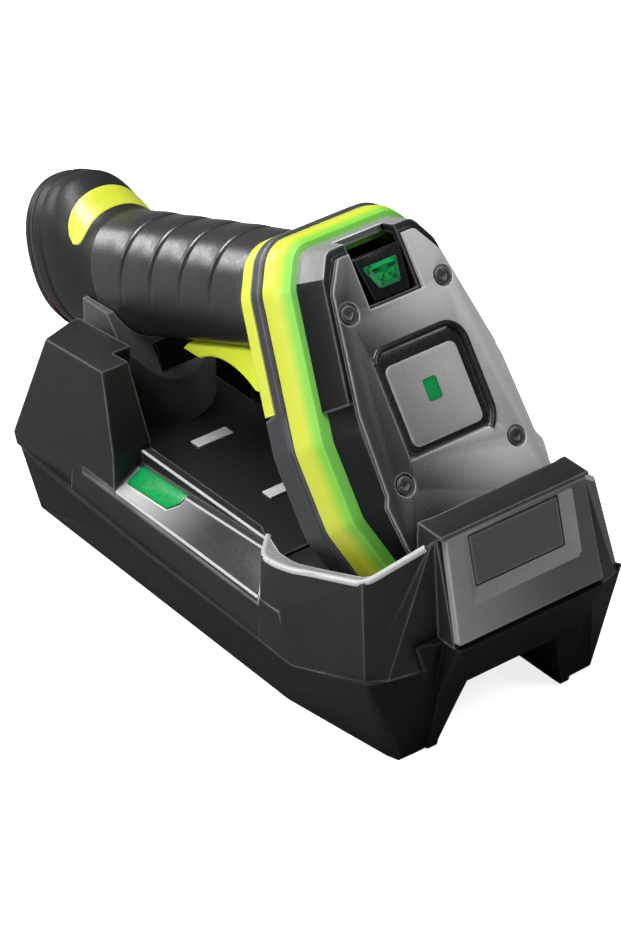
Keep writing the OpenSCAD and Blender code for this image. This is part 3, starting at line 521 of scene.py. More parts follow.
def moulded_group():
    """Moulded surface: broad mottling and fine specks tint the colour, edges are paler, partly as wear and
    partly as a painted highlight, dust greys what faces up, and a fine leathery grain and soft waves make the
    height."""
    group, given, result = shader_group(
        "Moulded surface",
        [("Colour", "NodeSocketColor", (0.1, 0.1, 0.1, 1)),
         ("Rubbed Colour", "NodeSocketColor", (0.3, 0.3, 0.3, 1)),
         ("Mottle", "NodeSocketFloat", 0.15), ("Rub", "NodeSocketFloat", 0.3),
         ("Dust", "NodeSocketFloat", 0.05), ("Edge Width", "NodeSocketFloat", 0.0012),
         ("Grain Scale", "NodeSocketFloat", 1500.0), ("Grain Height", "NodeSocketFloat", 0.1),
         ("Roughness", "NodeSocketFloat", 0.5)],
        [("Colour", "NodeSocketColor"), ("Roughness", "NodeSocketFloat"), ("Height", "NodeSocketFloat")])
    place = group.nodes.new("ShaderNodeTexCoord").outputs["Object"]
    true = group.nodes.new("ShaderNodeNewGeometry").outputs["Normal"]
    broad, fine = (
        node(group, "ShaderNodeTexNoise", Vector=place, Scale=scale, Detail=detail, Roughness=rough)
        .outputs["Fac"] for scale, detail, rough in ((45.0, 4.0, 0.6), (900.0, 3.0, 0.7)))
    grain = node(group, "ShaderNodeTexVoronoi", Vector=place, Scale=given.outputs["Grain Scale"])

    # Mottling: how far the sum of both noises is from one, times Mottle, changes the value.
    swing = calc(group, "SUBTRACT", calc(group, "ADD", broad, fine), 1.0)
    level = calc(group, "MULTIPLY_ADD", swing, given.outputs["Mottle"], 1.0)
    tinted = node(group, "ShaderNodeHueSaturation", Color=given.outputs["Colour"], Value=level)

    # Paler edges, partly wear and partly a painted highlight: where the normal averaged over the edge width
    # leaves the true one.
    soft = node(group, "ShaderNodeBevel", {"samples": 4}, Radius=given.outputs["Edge Width"])
    edge = span(group, dot(group, soft.outputs["Normal"], true), 0.99, 0.86, 0.0, 1.0)
    wear_highlight_amount = calc(group, "MULTIPLY", edge, span(group, broad, 0.3, 0.6, 0.35, 1.0))
    wear_highlight = calc(group, "MULTIPLY", wear_highlight_amount, given.outputs["Rub"])
    worn_and_lit = mixed(group, wear_highlight, tinted.outputs["Color"], given.outputs["Rubbed Colour"])

    # Dust: the upward part of the normal, broken by the fine noise.
    split = node(group, "ShaderNodeSeparateXYZ", Vector=true)
    dusty = calc(group, "MULTIPLY", span(group, split.outputs["Z"], 0.2, 1.0, 0.0, 1.0), fine)
    dust = calc(group, "MULTIPLY", dusty, given.outputs["Dust"])
    feed(group, result.inputs["Colour"], mixed(group, dust, worn_and_lit, (0.32, 0.32, 0.31, 1)))

    # Roughness: the given value, a little varied by the fine noise and lower along the paler edges.
    base = calc(group, "ADD", given.outputs["Roughness"], span(group, fine, 0.3, 0.7, -0.06, 0.06))
    feed(group, result.inputs["Roughness"], calc(group, "MULTIPLY_ADD", wear_highlight, -0.12, base, clamp=True))

    # Height: cells of the grain times its height, plus faint waves from the broad noise.
    cells = calc(group, "MULTIPLY", grain.outputs["Distance"], given.outputs["Grain Height"])
    feed(group, result.inputs["Height"], calc(group, "MULTIPLY_ADD", broad, 0.08, cells))
    return group


def painted_light_group():
    """Soft change of colour along one direction in the frame: dot(place, direction) mapped from near
    to far, to paint light and shade that change towards one end of a moulding."""
    group, given, result = shader_group(
        "Painted light along a line",
        [("Near Colour", "NodeSocketColor", (0, 0, 0, 1)), ("Far Colour", "NodeSocketColor", (1, 1, 1, 1)),
         ("Direction", "NodeSocketVector", (0, 1, 0)), ("Near", "NodeSocketFloat", 0.0),
         ("Far", "NodeSocketFloat", 0.1)],
        [("Colour", "NodeSocketColor")])
    place = group.nodes.new("ShaderNodeTexCoord").outputs["Object"]
    share = node(group, "ShaderNodeMapRange", {"clamp": True, "interpolation_type": "SMOOTHSTEP"},
                 Value=dot(group, place, given.outputs["Direction"]),
                 From_Min=given.outputs["Near"], From_Max=given.outputs["Far"])
    feed(group, result.inputs["Colour"], mixed(
        group, share.outputs["Result"], given.outputs["Near Colour"], given.outputs["Far Colour"]))
    return group


def finish(name, colour, roughness, wear_highlight=None, mottle=0.12, wear_highlight_amount=0.35, dust=0.05, edge_width=0.0012,
           grain_scale=1600.0, grain_height=0.35, bump=0.25, metallic=0.0, specular=0.5, coat=0.0,
           glow=None, painted_light_grade=None):
    """A material on the moulded surface group; its grade, painted light and shade along one direction, is
    (far colour, direction, near, far).
    """
    if name in bpy.data.materials:
        return bpy.data.materials[name]
    made = bpy.data.materials.new(name)
    made.use_nodes = True
    tree = made.node_tree
    shader = tree.nodes["Principled BSDF"]
    if wear_highlight is None:
        wear_highlight = [min(1.0, 2.2 * c + 0.035) for c in colour]
    surface = node(
        tree, "ShaderNodeGroup",
        {"node_tree": bpy.data.node_groups.get("Moulded surface") or moulded_group()},
        Colour=(*colour, 1), Rubbed_Colour=(*wear_highlight, 1), Mottle=mottle, Rub=wear_highlight_amount, Dust=dust,
        Edge_Width=edge_width, Grain_Scale=grain_scale, Grain_Height=grain_height, Roughness=roughness)
    if painted_light_grade:
        far_colour, direction, near, far = painted_light_grade
        along = node(
            tree, "ShaderNodeGroup",
            {"node_tree": bpy.data.node_groups.get("Painted light along a line") or painted_light_group()},
            Near_Colour=(*colour, 1), Far_Colour=(*far_colour, 1), Direction=direction, Near=near, Far=far)
        feed(tree, surface.inputs["Colour"], along.outputs["Colour"])
    height = node(tree, "ShaderNodeBump", Strength=bump, Distance=0.0004, Height=surface.outputs["Height"])
    for key, value in {
        "Base Color": surface.outputs["Colour"], "Roughness": surface.outputs["Roughness"],
        "Normal": height.outputs["Normal"], "Metallic": metallic, "Specular IOR Level": specular,
        "Coat Weight": coat, "Coat Roughness": 0.12}.items():
        feed(tree, shader.inputs[key], value)
    if glow:
        shader.inputs["Emission Color"].default_value = (*glow[0], 1)
        shader.inputs["Emission Strength"].default_value = glow[1]
    return made


def make_finishes():
    """Every finish of the object, by a maker's name for it."""
    c = bpy.context.scene.scanner_finishes
    lime, shade_green, charcoal, black = (tuple(v) for v in (c.lime, c.lime_shade, c.charcoal, c.black))
    top = float(HEAD_ORIGIN @ FACE_OUT)
    return {
        # The edge colours and their amounts are partly wear and partly a painted highlight along the edges.
        "charcoal": finish("Charcoal moulding", charcoal, 0.44, wear_highlight=(0.2, 0.2, 0.205), mottle=0.2,
            wear_highlight_amount=0.5, dust=0.01, specular=0.25),
        "cover": finish("Cradle cover moulding", charcoal, 0.4, wear_highlight=(0.3, 0.3, 0.305), mottle=0.2,
            wear_highlight_amount=0.42, dust=0.01, specular=0.2),
        # Saddle: its grey grows paler towards +X as a painted highlight on the rounded rest.
        "saddle": finish("Saddle moulding with painted highlight", (0.016, 0.0165, 0.017), 0.36, wear_highlight=(0.3, 0.3, 0.3),
            mottle=0.2, wear_highlight_amount=0.5, dust=0.0, painted_light_grade=((0.14, 0.14, 0.143), (1, 0, 0.4), -0.004, 0.034)),
        # Pale rim grey: given to upward and outward faces as a painted highlight.
        "rim": finish("Pale rim", (0.16, 0.161, 0.165), 0.3, wear_highlight=(0.7, 0.7, 0.7), mottle=0.15, wear_highlight_amount=0.6),
        # Bead grey: the pale grey of the beads is a painted highlight along raised edges.
        "bead": finish("Bead painted highlight", (0.30, 0.302, 0.306), 0.34, wear_highlight=(0.6, 0.6, 0.6), mottle=0.1,
            wear_highlight_amount=0.4, dust=0.0),
        "upper": finish("Inner wall black", (0.006, 0.0065, 0.008), 0.4, wear_highlight=(0.25, 0.25, 0.26),
            mottle=0.3, wear_highlight_amount=0.5, dust=0.0, specular=0.15),
        "black": finish("Black moulding", black, 0.5, wear_highlight=(0.05, 0.05, 0.05), mottle=0.2,
            dust=0.01, specular=0.15),
        # Plate: paler towards the right, a painted highlight.
        "plate": finish("Plate grey", tuple(c.plate), 0.38, wear_highlight=(0.5, 0.5, 0.51), mottle=0.2, wear_highlight_amount=0.7,
            grain_height=0.5, grain_scale=2200.0, specular=0.4,
            painted_light_grade=((0.33, 0.332, 0.336), (1, 0, 0.1), -0.009, 0.027)),
        # Label: paler towards the right and up, a painted highlight.
        "label": finish("Label grey with painted highlight", (0.13, 0.131, 0.134), 0.4, wear_highlight=(0.6, 0.6, 0.6), mottle=0.3,
            wear_highlight_amount=0.5, painted_light_grade=((0.32, 0.322, 0.325), (0.93, 0.28, 0.24), -0.012, 0.022)),
        "frame": finish("Label border black", black, 0.3, wear_highlight=(0.2, 0.2, 0.2), mottle=0.1, wear_highlight_amount=0.5,
            specular=0.3),
        # Trim: paler towards the back, a painted reflection; its strong pale edges are partly wear and partly
        # a painted highlight.
        "trim": finish("Trim grey", tuple(c.trim), 0.34, wear_highlight=(0.7, 0.7, 0.7), wear_highlight_amount=0.95, dust=0.0,
            grain_height=0.2, grain_scale=2200.0, edge_width=0.0008, specular=0.3,
            painted_light_grade=((0.5, 0.5, 0.505), (0, 1, 0), -0.01, 0.056)),
        # Panel: darker towards the right, painted shade.
        "panel": finish("Panel grey with painted shade", (0.17, 0.171, 0.174), 0.36, wear_highlight=(0.4, 0.4, 0.41), mottle=0.25,
            wear_highlight_amount=0.4, dust=0.0, specular=0.35, painted_light_grade=((0.06, 0.0605, 0.062), (1, 0, 0), -0.03, 0.016)),
        # Panel bevel: a paler copy of the panel's grey, a painted highlight on the bevels that face the
        # light.
        "bevel": finish("Panel bevel painted highlight", (0.2, 0.201, 0.204), 0.32, wear_highlight=(0.4, 0.4, 0.41),
            mottle=0.25, wear_highlight_amount=0.4, dust=0.0, specular=0.4),
        "button": finish("Button grey", (0.06, 0.061, 0.063), 0.36, wear_highlight=(0.3, 0.3, 0.31), mottle=0.15,
            wear_highlight_amount=0.7, specular=0.4),
        # Deck pads: raised pads whose pale grey is a painted highlight.
        "pad_highlight": finish("Deck pad painted highlight", (0.5, 0.5, 0.51), 0.3, mottle=0.08, wear_highlight_amount=0.2),
        # Lime bumper: greener towards the shoulder, painted shade.
        "lime_rubber": finish("Lime bumper with painted shade", lime, 0.38, wear_highlight=(0.62, 0.72, 0.25), mottle=0.1, wear_highlight_amount=0.5,
            dust=0.02, grain_height=0.2,
            painted_light_grade=((0.13, 0.40, 0.03), tuple(FACE_OUT), top - 0.0185, top - 0.0138)),
        # Shoulder: the lime as it looks in shade, painted shade.
        "lime_shade": finish("Lime shoulder in painted shade", shade_green, 0.4, wear_highlight=(0.3, 0.55, 0.05), mottle=0.1,
            wear_highlight_amount=0.4, grain_height=0.2),
        "lime": finish("Lime moulding", lime, 0.34, wear_highlight=(0.66, 0.74, 0.2), mottle=0.1, wear_highlight_amount=0.5,
            dust=0.02, grain_height=0.2),
        # Trigger: a brighter copy of the lime, painted light against the shade it sits in under the handle.
        "trigger": finish("Lime trigger brightened against shade", (0.74, 0.86, 0.05), 0.34, wear_highlight=(0.8, 0.9, 0.2), mottle=0.1,
            wear_highlight_amount=0.5, dust=0.0, grain_height=0.2),
        "band": finish("Band rubber", (0.02, 0.02, 0.024), 0.42, wear_highlight=(0.3, 0.3, 0.33), mottle=0.2,
            wear_highlight_amount=0.5, dust=0.03, grain_height=0.5),
        "grip": finish("Grip rubber", (0.012, 0.0125, 0.0135), 0.33, wear_highlight=(0.1, 0.1, 0.1), mottle=0.3,
            wear_highlight_amount=0.3, dust=0.02, grain_scale=1300.0, grain_height=0.3, bump=0.14, specular=0.8),
        "foot": finish("Foot rubber", (0.01, 0.01, 0.01), 0.7, mottle=0.2, wear_highlight_amount=0.2),
        "gasket": finish("Red gasket", (0.12, 0.01, 0.008), 0.5, mottle=0.1, wear_highlight_amount=0.1),
        "window": finish("Smoked window", (0.004, 0.004, 0.006), 0.12, mottle=0.1, wear_highlight_amount=0.0,
            grain_height=0.0, bump=0.02, specular=0.3),
        # Signal green: its faint glow is painted glow on the label's printed mark and the scanner's unlit
        # indicator; on the cradle's status lens it stands for the lit LED.
        "green": finish("Signal green", tuple(c.green), 0.2, wear_highlight=(0.002, 0.05, 0.02), mottle=0.9,
            wear_highlight_amount=0.85, dust=0.0, edge_width=0.0014, grain_height=0.05, glow=((0.0, 0.5, 0.12), 0.02)),
        "board": finish("Board green", (0.01, 0.08, 0.03), 0.4, mottle=0.5, wear_highlight_amount=0.1, grain_scale=700.0),
        "film": finish("Battery film", (0.03, 0.034, 0.04), 0.25, mottle=0.1, wear_highlight_amount=0.1, coat=0.3),
        "dark_steel": finish("Blackened steel", (0.012, 0.012, 0.013), 0.35, wear_highlight=(0.3, 0.3, 0.3),
            wear_highlight_amount=0.6, grain_height=0.1),
        "dark_metal": finish("Dark casting", (0.04, 0.042, 0.045), 0.4, metallic=0.5, wear_highlight_amount=0.3),
        "steel": finish("Bright steel", (0.55, 0.55, 0.55), 0.28, metallic=1.0, wear_highlight_amount=0.2,
            grain_height=0.1),
        "gold": finish("Gold contact", (0.78, 0.52, 0.16), 0.22, metallic=1.0, wear_highlight_amount=0.2,
            grain_height=0.05),
    }


FINISHES = {}


# --- Scanner head -----------------------------------------------------------------------------


def outline_sweep(outline, profile, out=None):
    """A profile of (inset, out) carried round the head's outline:
    point (i, j) = outline_j + inset_i * inward normal_j, at height out_i over the plate's top."""
    normal = inward(outline)
    inset = profile[:, 0][:, None]
    out = profile[:, 1][:, None] if out is None else out
    across = outline[None, :, 0] + inset * normal[None, :, 0]
    along = outline[None, :, 1] + inset * normal[None, :, 1]
    return head_place(across, along, out)


class SCANNER_OT_bumper(bpy.types.Operator):
    """Builds the lime bumper ring with its shoulder in painted shade, and the rubber band behind it"""
    bl_idname = "scanner.bumper"
    bl_label = "Bumper and band"

    def execute(self, context):
        outline = head_outline(context.scene.scanner_head)
        # The bumper's section: steep outside, sloping face, near-flat shoulder and a hidden foot.
        corners = [(1.2, BAND_TOP), (11.6, BAND_TOP), (11.6, -12.9), (10.4, -11.9), (4.6, -13.3),
                   (1.9, -19.0)]
        profile = fillet_loop(corners, [0.4, 0.4, 0.3, 0.5, 0.9, 3.0], 9)
        # The shoulder's faces take the second finish, the lime in painted shade.
        shoulder = (profile[:, 0] > 5.0) & (profile[:, 1] > -13.6)
        ring = closed_ring("bumper_ring", outline_sweep(outline, profile), shoulder.astype(int))
        dress(ring, "scanner", "lime_rubber", "lime_rubber lime_shade", "ring_bumper")
        # The band's section: rounded lips; round the crown its back steps up to the neck's rim.
        corners = [(0.9, BAND_BACK), (3.6, BAND_BACK), (3.6, BAND_TOP), (0.9, BAND_TOP),
                   (0.05, BAND_TOP - 1.6), (0.05, BAND_BACK + 2)]
        profile = fillet_loop(corners, [0.8, 0.2, 0.2, 0.6, 0.9, 1.2], 7)
        crown = outline[:, 1] > RIM_FRONT
        depth = np.where(crown, (RIM_TOP - BAND_TOP) / (BAND_BACK - BAND_TOP), 1.0)[None, :]
        out = BAND_TOP + (profile[:, 1][:, None] - BAND_TOP) * depth
        band = closed_ring("rubber_band_lip", outline_sweep(outline, profile, out))
        dress(band, "scanner", "charcoal_rubber", "band", "rubber_band")
        return {"FINISHED"}


class SCANNER_OT_shells(bpy.types.Operator):
    """Rounds the upper and lower housings, the nose frame and its window"""
    bl_idname = "scanner.shells"
    bl_label = "Head shells"

    def execute(self, context):
        edge = context.scene.scanner_head.edge
        upper = rounded_copy("upper_housing", "upper_shell", edge, 24)
        dress(upper, "scanner", "charcoal_plastic", "upper rim", "upper_housing")
        # The crown's outward faces beside the indicator get the pale rim grey as a painted highlight.
        mark_faces(upper.data, 1, lambda centre, normal: (
            ((centre - HEAD_ORIGIN) @ NOSE_UP > 0.1085) & (normal @ FACE_OUT > 0.15)
            & (np.abs(centre[:, 0]) < 0.022)))
        lower = rounded_copy("lower_housing", "lower_shell", edge, 24)
        dress(lower, "scanner", "black_plastic", "black", "lower_housing")
        nose = rounded_copy("nose_frame", "nose_bezel", 1.3 * edge)
        dress(nose, "scanner", "charcoal_rubber", "band", "nose_frame")
        glass = rounded_copy("scan_window", "scan_glass", 0.5 * edge)
        dress(glass, "scanner", "dark_window", "window", "scan_window")
        return {"FINISHED"}


def rounded_slab(name, half_x, along, out, corner, edge, steps=48):
    """A slab in the plate's plane: a filleted rectangle between along[0] and along[1], from out[0] up to
    out[1], whose top edge is a quarter circle of the edge radius."""
    corners = [(-half_x, along[0]), (half_x, along[0]), (half_x, along[1]), (-half_x, along[1])]
    loop = even_loop(fillet_loop(corners, corner, 12), steps * 4)
    normal = inward(loop)
    turn = np.linspace(0, math.pi / 2, 6)
    inset = np.concatenate([[0], edge * (1 - np.cos(turn)), [corner * 0.8]])[:, None]
    height = np.concatenate([[out[0]], out[1] - edge * (1 - np.sin(turn)), [out[1]]])[:, None]
    across = loop[None, :, 0] + inset * normal[None, :, 0]
    length = loop[None, :, 1] + inset * normal[None, :, 1]
    return closed_tube(name, head_place(across, length, height), 40)


class SCANNER_OT_plate(bpy.types.Operator):
    """Builds the top plate, its screws, the label place with its border and guard, and the indicator"""
    bl_idname = "scanner.plate"
    bl_label = "Top plate"

    def execute(self, context):
        edge = context.scene.scanner_head.edge
        plate = rounded_copy("top_plate", "face_plate", 0.9 * edge, 35)
        dress(plate, "scanner", "plate_grey", "plate", "top_plate")
        screws = rounded_copy("plate_screws", "face_screws", 0.00025, 35, 2)
        dress(screws, "scanner", "dark_steel", "dark_steel", "plate_screws")
        border = rounded_slab("label_border", 16.1, (48.4, 79.6), (-1.18, -0.85), 3.2, 0.2)
        dress(border, "scanner", "black_plastic", "frame")
        # A raised black guard runs round the top and the right of the label place.
        corners = [(-15.6, 78.0), (-14.0, 81.4), (13.6, 81.4), (17.4, 77.4), (17.4, 51.6), (14.4, 47.4)]
        line = fillet_loop(corners, [0.1, 1.4, 3.0, 2.6, 2.2, 0.1], 6)
        guard = bead("label_guard", head_place(line[:, 0], line[:, 1], np.full(len(line), -0.7)), 1.25 * MM)
        dress(guard, "scanner", "black_plastic", "frame")
        label = rounded_slab("label_face", 13.4, (50.4, 76.0), (-0.9, -0.35), 2.4, 0.3)
        dress(label, "scanner", "label_grey", "label", "label_plate")
        # A green mark printed on the label; the green finish's faint glow on it is painted glow.
        lamp = rounded_slab("status_mark", 2.6, (61.5, 68.5), (-0.5, -0.28), 0.9, 0.1, 16)
        dress(lamp, "scanner", "green_lens", "green")
        # Indicator: a black cover over the whole window with a cut gem on it.
        cover = rounded_copy("indicator_window", "indicator_cover", 0.0007)
        dress(cover, "scanner", "dark_window", "window", "indicator_window")
        corners = [(-7.2, 105.6), (-3.6, 98.0), (4.2, 98.0), (6.0, 105.6)]
        loop = even_loop(fillet_loop(corners, 0.5, 5), 96)
        cut = np.array([(0.0, -2.2), (0.0, -1.3), (1.5, -0.5), (1.5, -0.9), (2.4, -0.9)])
        gem = closed_tube("indicator_gem", outline_sweep(loop, cut), 25)
        dress(gem, "scanner", "green_lens", "green")
        return {"FINISHED"}


# --- Neck, grip and foot ----------------------------------------------------------------------


def neck_ring(turn):
    """The sleeve's outline under the head: a filleted loop read as radius over angle, centre at the
    middle of the neck."""
    right = [(29.0, 74.0), (22.6, 107.0), (16.8, 115.4)]
    loop = fillet_loop(right + [(-x, y) for x, y in reversed(right)], [3.0, 9.0, 5.0, 5.0, 9.0, 3.0], 12)
    loop = even_loop(loop, 900) - (0, NECK_MIDDLE)
    angle = np.arctan2(loop[:, 1], loop[:, 0]) % (2 * math.pi)
    order = np.argsort(angle)
    radius = np.interp(turn, angle[order], np.linalg.norm(loop, axis=1)[order], period=2 * math.pi)
    return head_place(
        radius * np.cos(turn), NECK_MIDDLE + radius * np.sin(turn), np.full_like(turn, NECK_TOP))


def handle_ring(turn, down, half_width, half_depth, back, power):
    """A softened ellipse square to the handle, that far down from its origin and back from its line."""
    across, depth = oval(half_width, half_depth, power, turn)
    return handle_place(across, depth + back, down)


def with_trigger_slot(grid):
    """The grid with the points in the trigger's slot pushed up the head to the slot's floor, which
    runs straight between its two ends and goes on level for a few millimetres past each."""
    local = (grid - HEAD_ORIGIN) / MM
    along, out = local @ NOSE_UP, local @ FACE_OUT
    floor = np.interp(-out, (-SLOT_OUT[0], -SLOT_OUT[1]), SLOT_FLOOR)
    beside = (out > SLOT_OUT[0] + 7) | (out < SLOT_OUT[1] - 6) | (np.abs(local[..., 0]) > SLOT_HALF)
    inside = ~beside & (along < floor)
    return np.where(inside[..., None], grid + (MM * (floor - along))[..., None] * NOSE_UP, grid)


def boot_ring(turn, down, grow):
    """The boot's oval that far down the handle, grown by grow: its halves and its offset go from the
    grip's to the rim's by a smooth step to the power 1.25."""
    swell = smooth_step(down, 97.5, 119.0) ** 1.25
    half_x, half_y = (start + (end - start) * swell + grow for start, end in zip(BOOT_START, BOOT_RIM))
    return handle_ring(turn, down, half_x, half_y, BOOT_BACK * swell, BOOT_POWER)


class SCANNER_OT_grip(bpy.types.Operator):
    """Builds the ribbed rubber grip, the neck flare and the lime strip behind the head"""
    bl_idname = "scanner.grip"
    bl_label = "Grip and neck"

    def execute(self, context):
        sizes = context.scene.scanner_grip
        turn = np.linspace(0, 2 * math.pi, 144, endpoint=False)
        half = sizes.width / 2 / MM
        top, foot = sizes.depth_top / 2 / MM, sizes.depth_foot / 2 / MM
        # Grip: ovals down the handle. At each groove the radius drops by
        # rib_depth * exp(-(distance / 0.75 mm)^2), and round 6 mm below it, swells by 0.22 of that
        # over a wider bell of 5 mm. The grooves lie lower towards the finger side, and fade there.
        down = np.linspace(TAPER[0] - 0.5, 99.0, 240)[:, None]
        share = (down - TAPER[0]) / (TAPER[1] - TAPER[0])
        depth = top + (foot - top) * share
        across, back = oval(half, depth, GRIP_POWER, turn[None, :])
        dip = np.zeros((len(down), len(turn)))
        first_groove, lean = 34.0, 0.28
        for k in range(4):
            at = first_groove + k * sizes.rib_gap / MM - lean * back
            dip += np.exp(-((down - at) / 0.75) ** 2) - 0.22 * np.exp(-((down - at - 6.0) / 5.0) ** 2)
        fade = smooth_step(np.sin(turn)[None, :], -0.25, 0.55)
        shrink = 1 - sizes.rib_depth / MM * dip * fade / half
        grid = handle_place(across * shrink, back * shrink, down)
        grip = closed_tube("ribbed_grip", with_trigger_slot(grid), 60)
        dress(grip, "scanner", "charcoal_rubber", "grip", "handle_grip")
        # Neck flare: each line runs from the neck's ring to the handle's first oval along the
        # Hermite curve that leaves the head square to it and joins the handle smoothly.
        start, end = neck_ring(turn), handle_ring(turn, TAPER[0] - 0.4, half, top, 0, GRIP_POWER)
        t = np.linspace(0, 1, 28)[:, None, None]
        out_way, in_way = -FACE_OUT * 0.020, FOOT_WAY * 0.020
        flare = ((2 * t ** 3 - 3 * t ** 2 + 1) * start + (t ** 3 - 2 * t ** 2 + t) * out_way
                 + (-2 * t ** 3 + 3 * t ** 2) * end + (t ** 3 - t ** 2) * in_way)
        sleeve = closed_tube("neck_sleeve", with_trigger_slot(flare), 60)
        dress(sleeve, "scanner", "charcoal_rubber", "grip")
        # Rim: its section carried along the part of the head's outline behind the crown.
        outline = head_outline(context.scene.scanner_head)
        crown = outline[:, 1] > RIM_FRONT
        corners = [(0.1, RIM_TOP - 0.05), (0.1, -34.6), (2.6, -38.3), (9.6, -38.9),
                   (9.6, -36.6), (3.7, -36.6), (3.7, RIM_TOP - 0.05)]
        profile = fillet_loop(corners, [0.3, 2.0, 1.2, 0.2, 0.2, 0.2, 0.2], 6)
        rim = closed_strip("neck_rim", outline_sweep(outline, profile)[:, crown])
        dress(rim, "scanner", "lime_plastic", "lime", "neck_shell")
        return {"FINISHED"}


class SCANNER_OT_trigger(bpy.types.Operator):
    """Rounds the trigger and finishes its pin, spring and switch"""
    bl_idname = "scanner.trigger"
    bl_label = "Trigger"

    def execute(self, context):
        trigger = rounded_copy("trigger", "finger_trigger", 0.0016, 30, 4)
        dress(trigger, "trigger", "lime_plastic", "trigger", "trigger")
        paint_nodes(trigger_pin="steel", trigger_spring="steel", trigger_switch="black")
        return {"FINISHED"}


class SCANNER_OT_foot(bpy.types.Operator):
    """Builds the handle's boot with its lime crescent, the battery cap and what is inside"""
    bl_idname = "scanner.foot"
    bl_label = "Handle foot and battery"

    def execute(self, context):
        turn = np.linspace(0, 2 * math.pi, 160, endpoint=False)
        # Boot: it ends in a quarter circle from round_from on, and a groove runs round it at 122.5 mm.
        round_from, radius = 126.7, 2.8
        down = np.concatenate([
            np.linspace(97.5, 117, 40), np.linspace(117.3, 126.5, 16), np.linspace(round_from, 129.5, 10)])
        down = down[:, None]
        fall = radius - np.sqrt(np.maximum(radius ** 2 - (down - round_from).clip(0) ** 2, 0))
        groove = 0.7 * np.exp(-((down - 122.5) / 0.6) ** 2)
        grid = boot_ring(turn[None, :], down, -0.6 * fall - groove)
        boot = closed_tube("handle_boot_rim", grid)
        dress(boot, "scanner", "black_plastic", "charcoal", "handle_boot")
        # Crescent: a patch of the boot's own surface, lifted 0.45 mm, over 61 degrees to each side of the
        # handle's back; its half length is 3.8 mm * sqrt(1 - u^6), with u from -1 to 1 across.
        u = np.linspace(-1, 1, 60)[None, :]
        angle = math.radians(90) + math.radians(61) * u
        half = 3.8 * np.sqrt(1 - 0.995 * u ** 6)
        t = np.linspace(0, 1, 22)[:, None]
        s = 107.2 + half * (2 * t - 1)
        lift = 0.55 * np.sin(math.pi * t) ** 0.35 - 0.1
        grid = np.concatenate([boot_ring(angle, s, lift), boot_ring(angle, s, -0.9)[::-1]])
        crescent = closed_strip("collar_crescent", grid)
        dress(crescent, "scanner", "lime_plastic", "lime", "handle_collar")
        # Cap: ovals of the boot's rim, inset along a quarter ellipse to the flat end of the battery cap.
        turn_down = np.linspace(0, math.pi / 2, 14)
        s = np.concatenate([[129.85, 131.2], 131.5 + 4.4 * np.sin(turn_down)])[:, None]
        inset = np.concatenate([[0.9, 0.6], 0.6 + 3.6 * (1 - np.cos(turn_down))])[:, None]
        grid = handle_ring(turn[None, :], s, BOOT_RIM[0] - inset, BOOT_RIM[1] - inset, BOOT_BACK, BOOT_POWER)
        cap = closed_tube("battery_door", grid)
        dress(cap, "battery", "charcoal_plastic", "charcoal", "battery_cap")
        paint_nodes(
            battery_pack="film", cap_gasket="gasket", lock_screw="steel", battery_terminals="gold",
            charge_pads="gold", handle_shell="black")
        return {"FINISHED"}


# --- Cradle -----------------------------------------------------------------------------------


class SCANNER_OT_cradle(bpy.types.Operator):
    """Rounds the cradle's base, cover and handle saddle"""
    bl_idname = "scanner.cradle"
    bl_label = "Cradle shells"

    def execute(self, context):
        edge = context.scene.scanner_cradle.edge
        corner = context.scene.scanner_cradle.corner
        base = rounded_copy("cradle_base", "cradle_tub", edge, 22)
        soften_corners(base.data, corner, 0.012)
        dress(base, "cradle", "black_plastic", "black", "cradle_base")
        cover = rounded_copy("cradle_cover", "cradle_top", edge, 22)
        soften_corners(cover.data, corner, 0.012)
        dress(cover, "cradle", "charcoal_plastic", "cover rim", "cradle_cover")
        # The upward faces of the cup's rim get the pale rim grey as a painted highlight.
        mark_faces(cover.data, 1, lambda centre, normal: (
            (normal[:, 2] > 0.3) & (centre[:, 2] > 0.0425) & (centre[:, 2] < 0.074) & (centre[:, 1] < -0.02)
            & (centre[:, 1] > -0.100) & (np.abs(centre[:, 0]) > 0.026)))
        # Beads round the cup's rim, from the rail up to the front block, on both sides, and finer beads along
        # the rail's outer edge, its inner edge and the wall beside the deck: raised edges whose pale grey is
        # a painted highlight.
        for side, way in ((1, "left"), (-1, "right")):
            for name, line, radius in (("rim_highlight_bead", CUP_RIM, 1.1), ("rail_highlight_bead", RAIL_EDGE, 0.5),
                                       ("trim_highlight_bead", TRIM_EDGE, 0.42), ("deck_highlight_bead", DECK_WALL, 0.5)):
                pale = bead(f"{name}_{way}", MM * np.array(line) * (side, 1, 1), radius * MM)
                dress(pale, "cradle", "trim_grey", "bead")
        # The rest's finish paints a highlight that grows towards the right.
        saddle = rounded_copy("handle_saddle", "handle_rest", edge, 24)
        dress(saddle, "cradle", "charcoal_plastic", "saddle", "handle_saddle")
        return {"FINISHED"}


def panel_ring(rows):
    """A picture-frame ring on the front panel. Each row is (lower half width, upper half width, foot, top,
    corner radius, out): a filleted four-sided loop at one level, and all rows have the same points in turn,
    so the surface between two rows is ruled from side to side."""
    loops = []
    for lower, upper, foot, top, radius, out in rows:
        loop = fillet_loop([(-lower, foot), (lower, foot), (upper, top), (-upper, top)], radius, 8)
        loops.append(panel_place(loop[:, 0], loop[:, 1], np.full(len(loop), out)))
    return np.stack(loops)


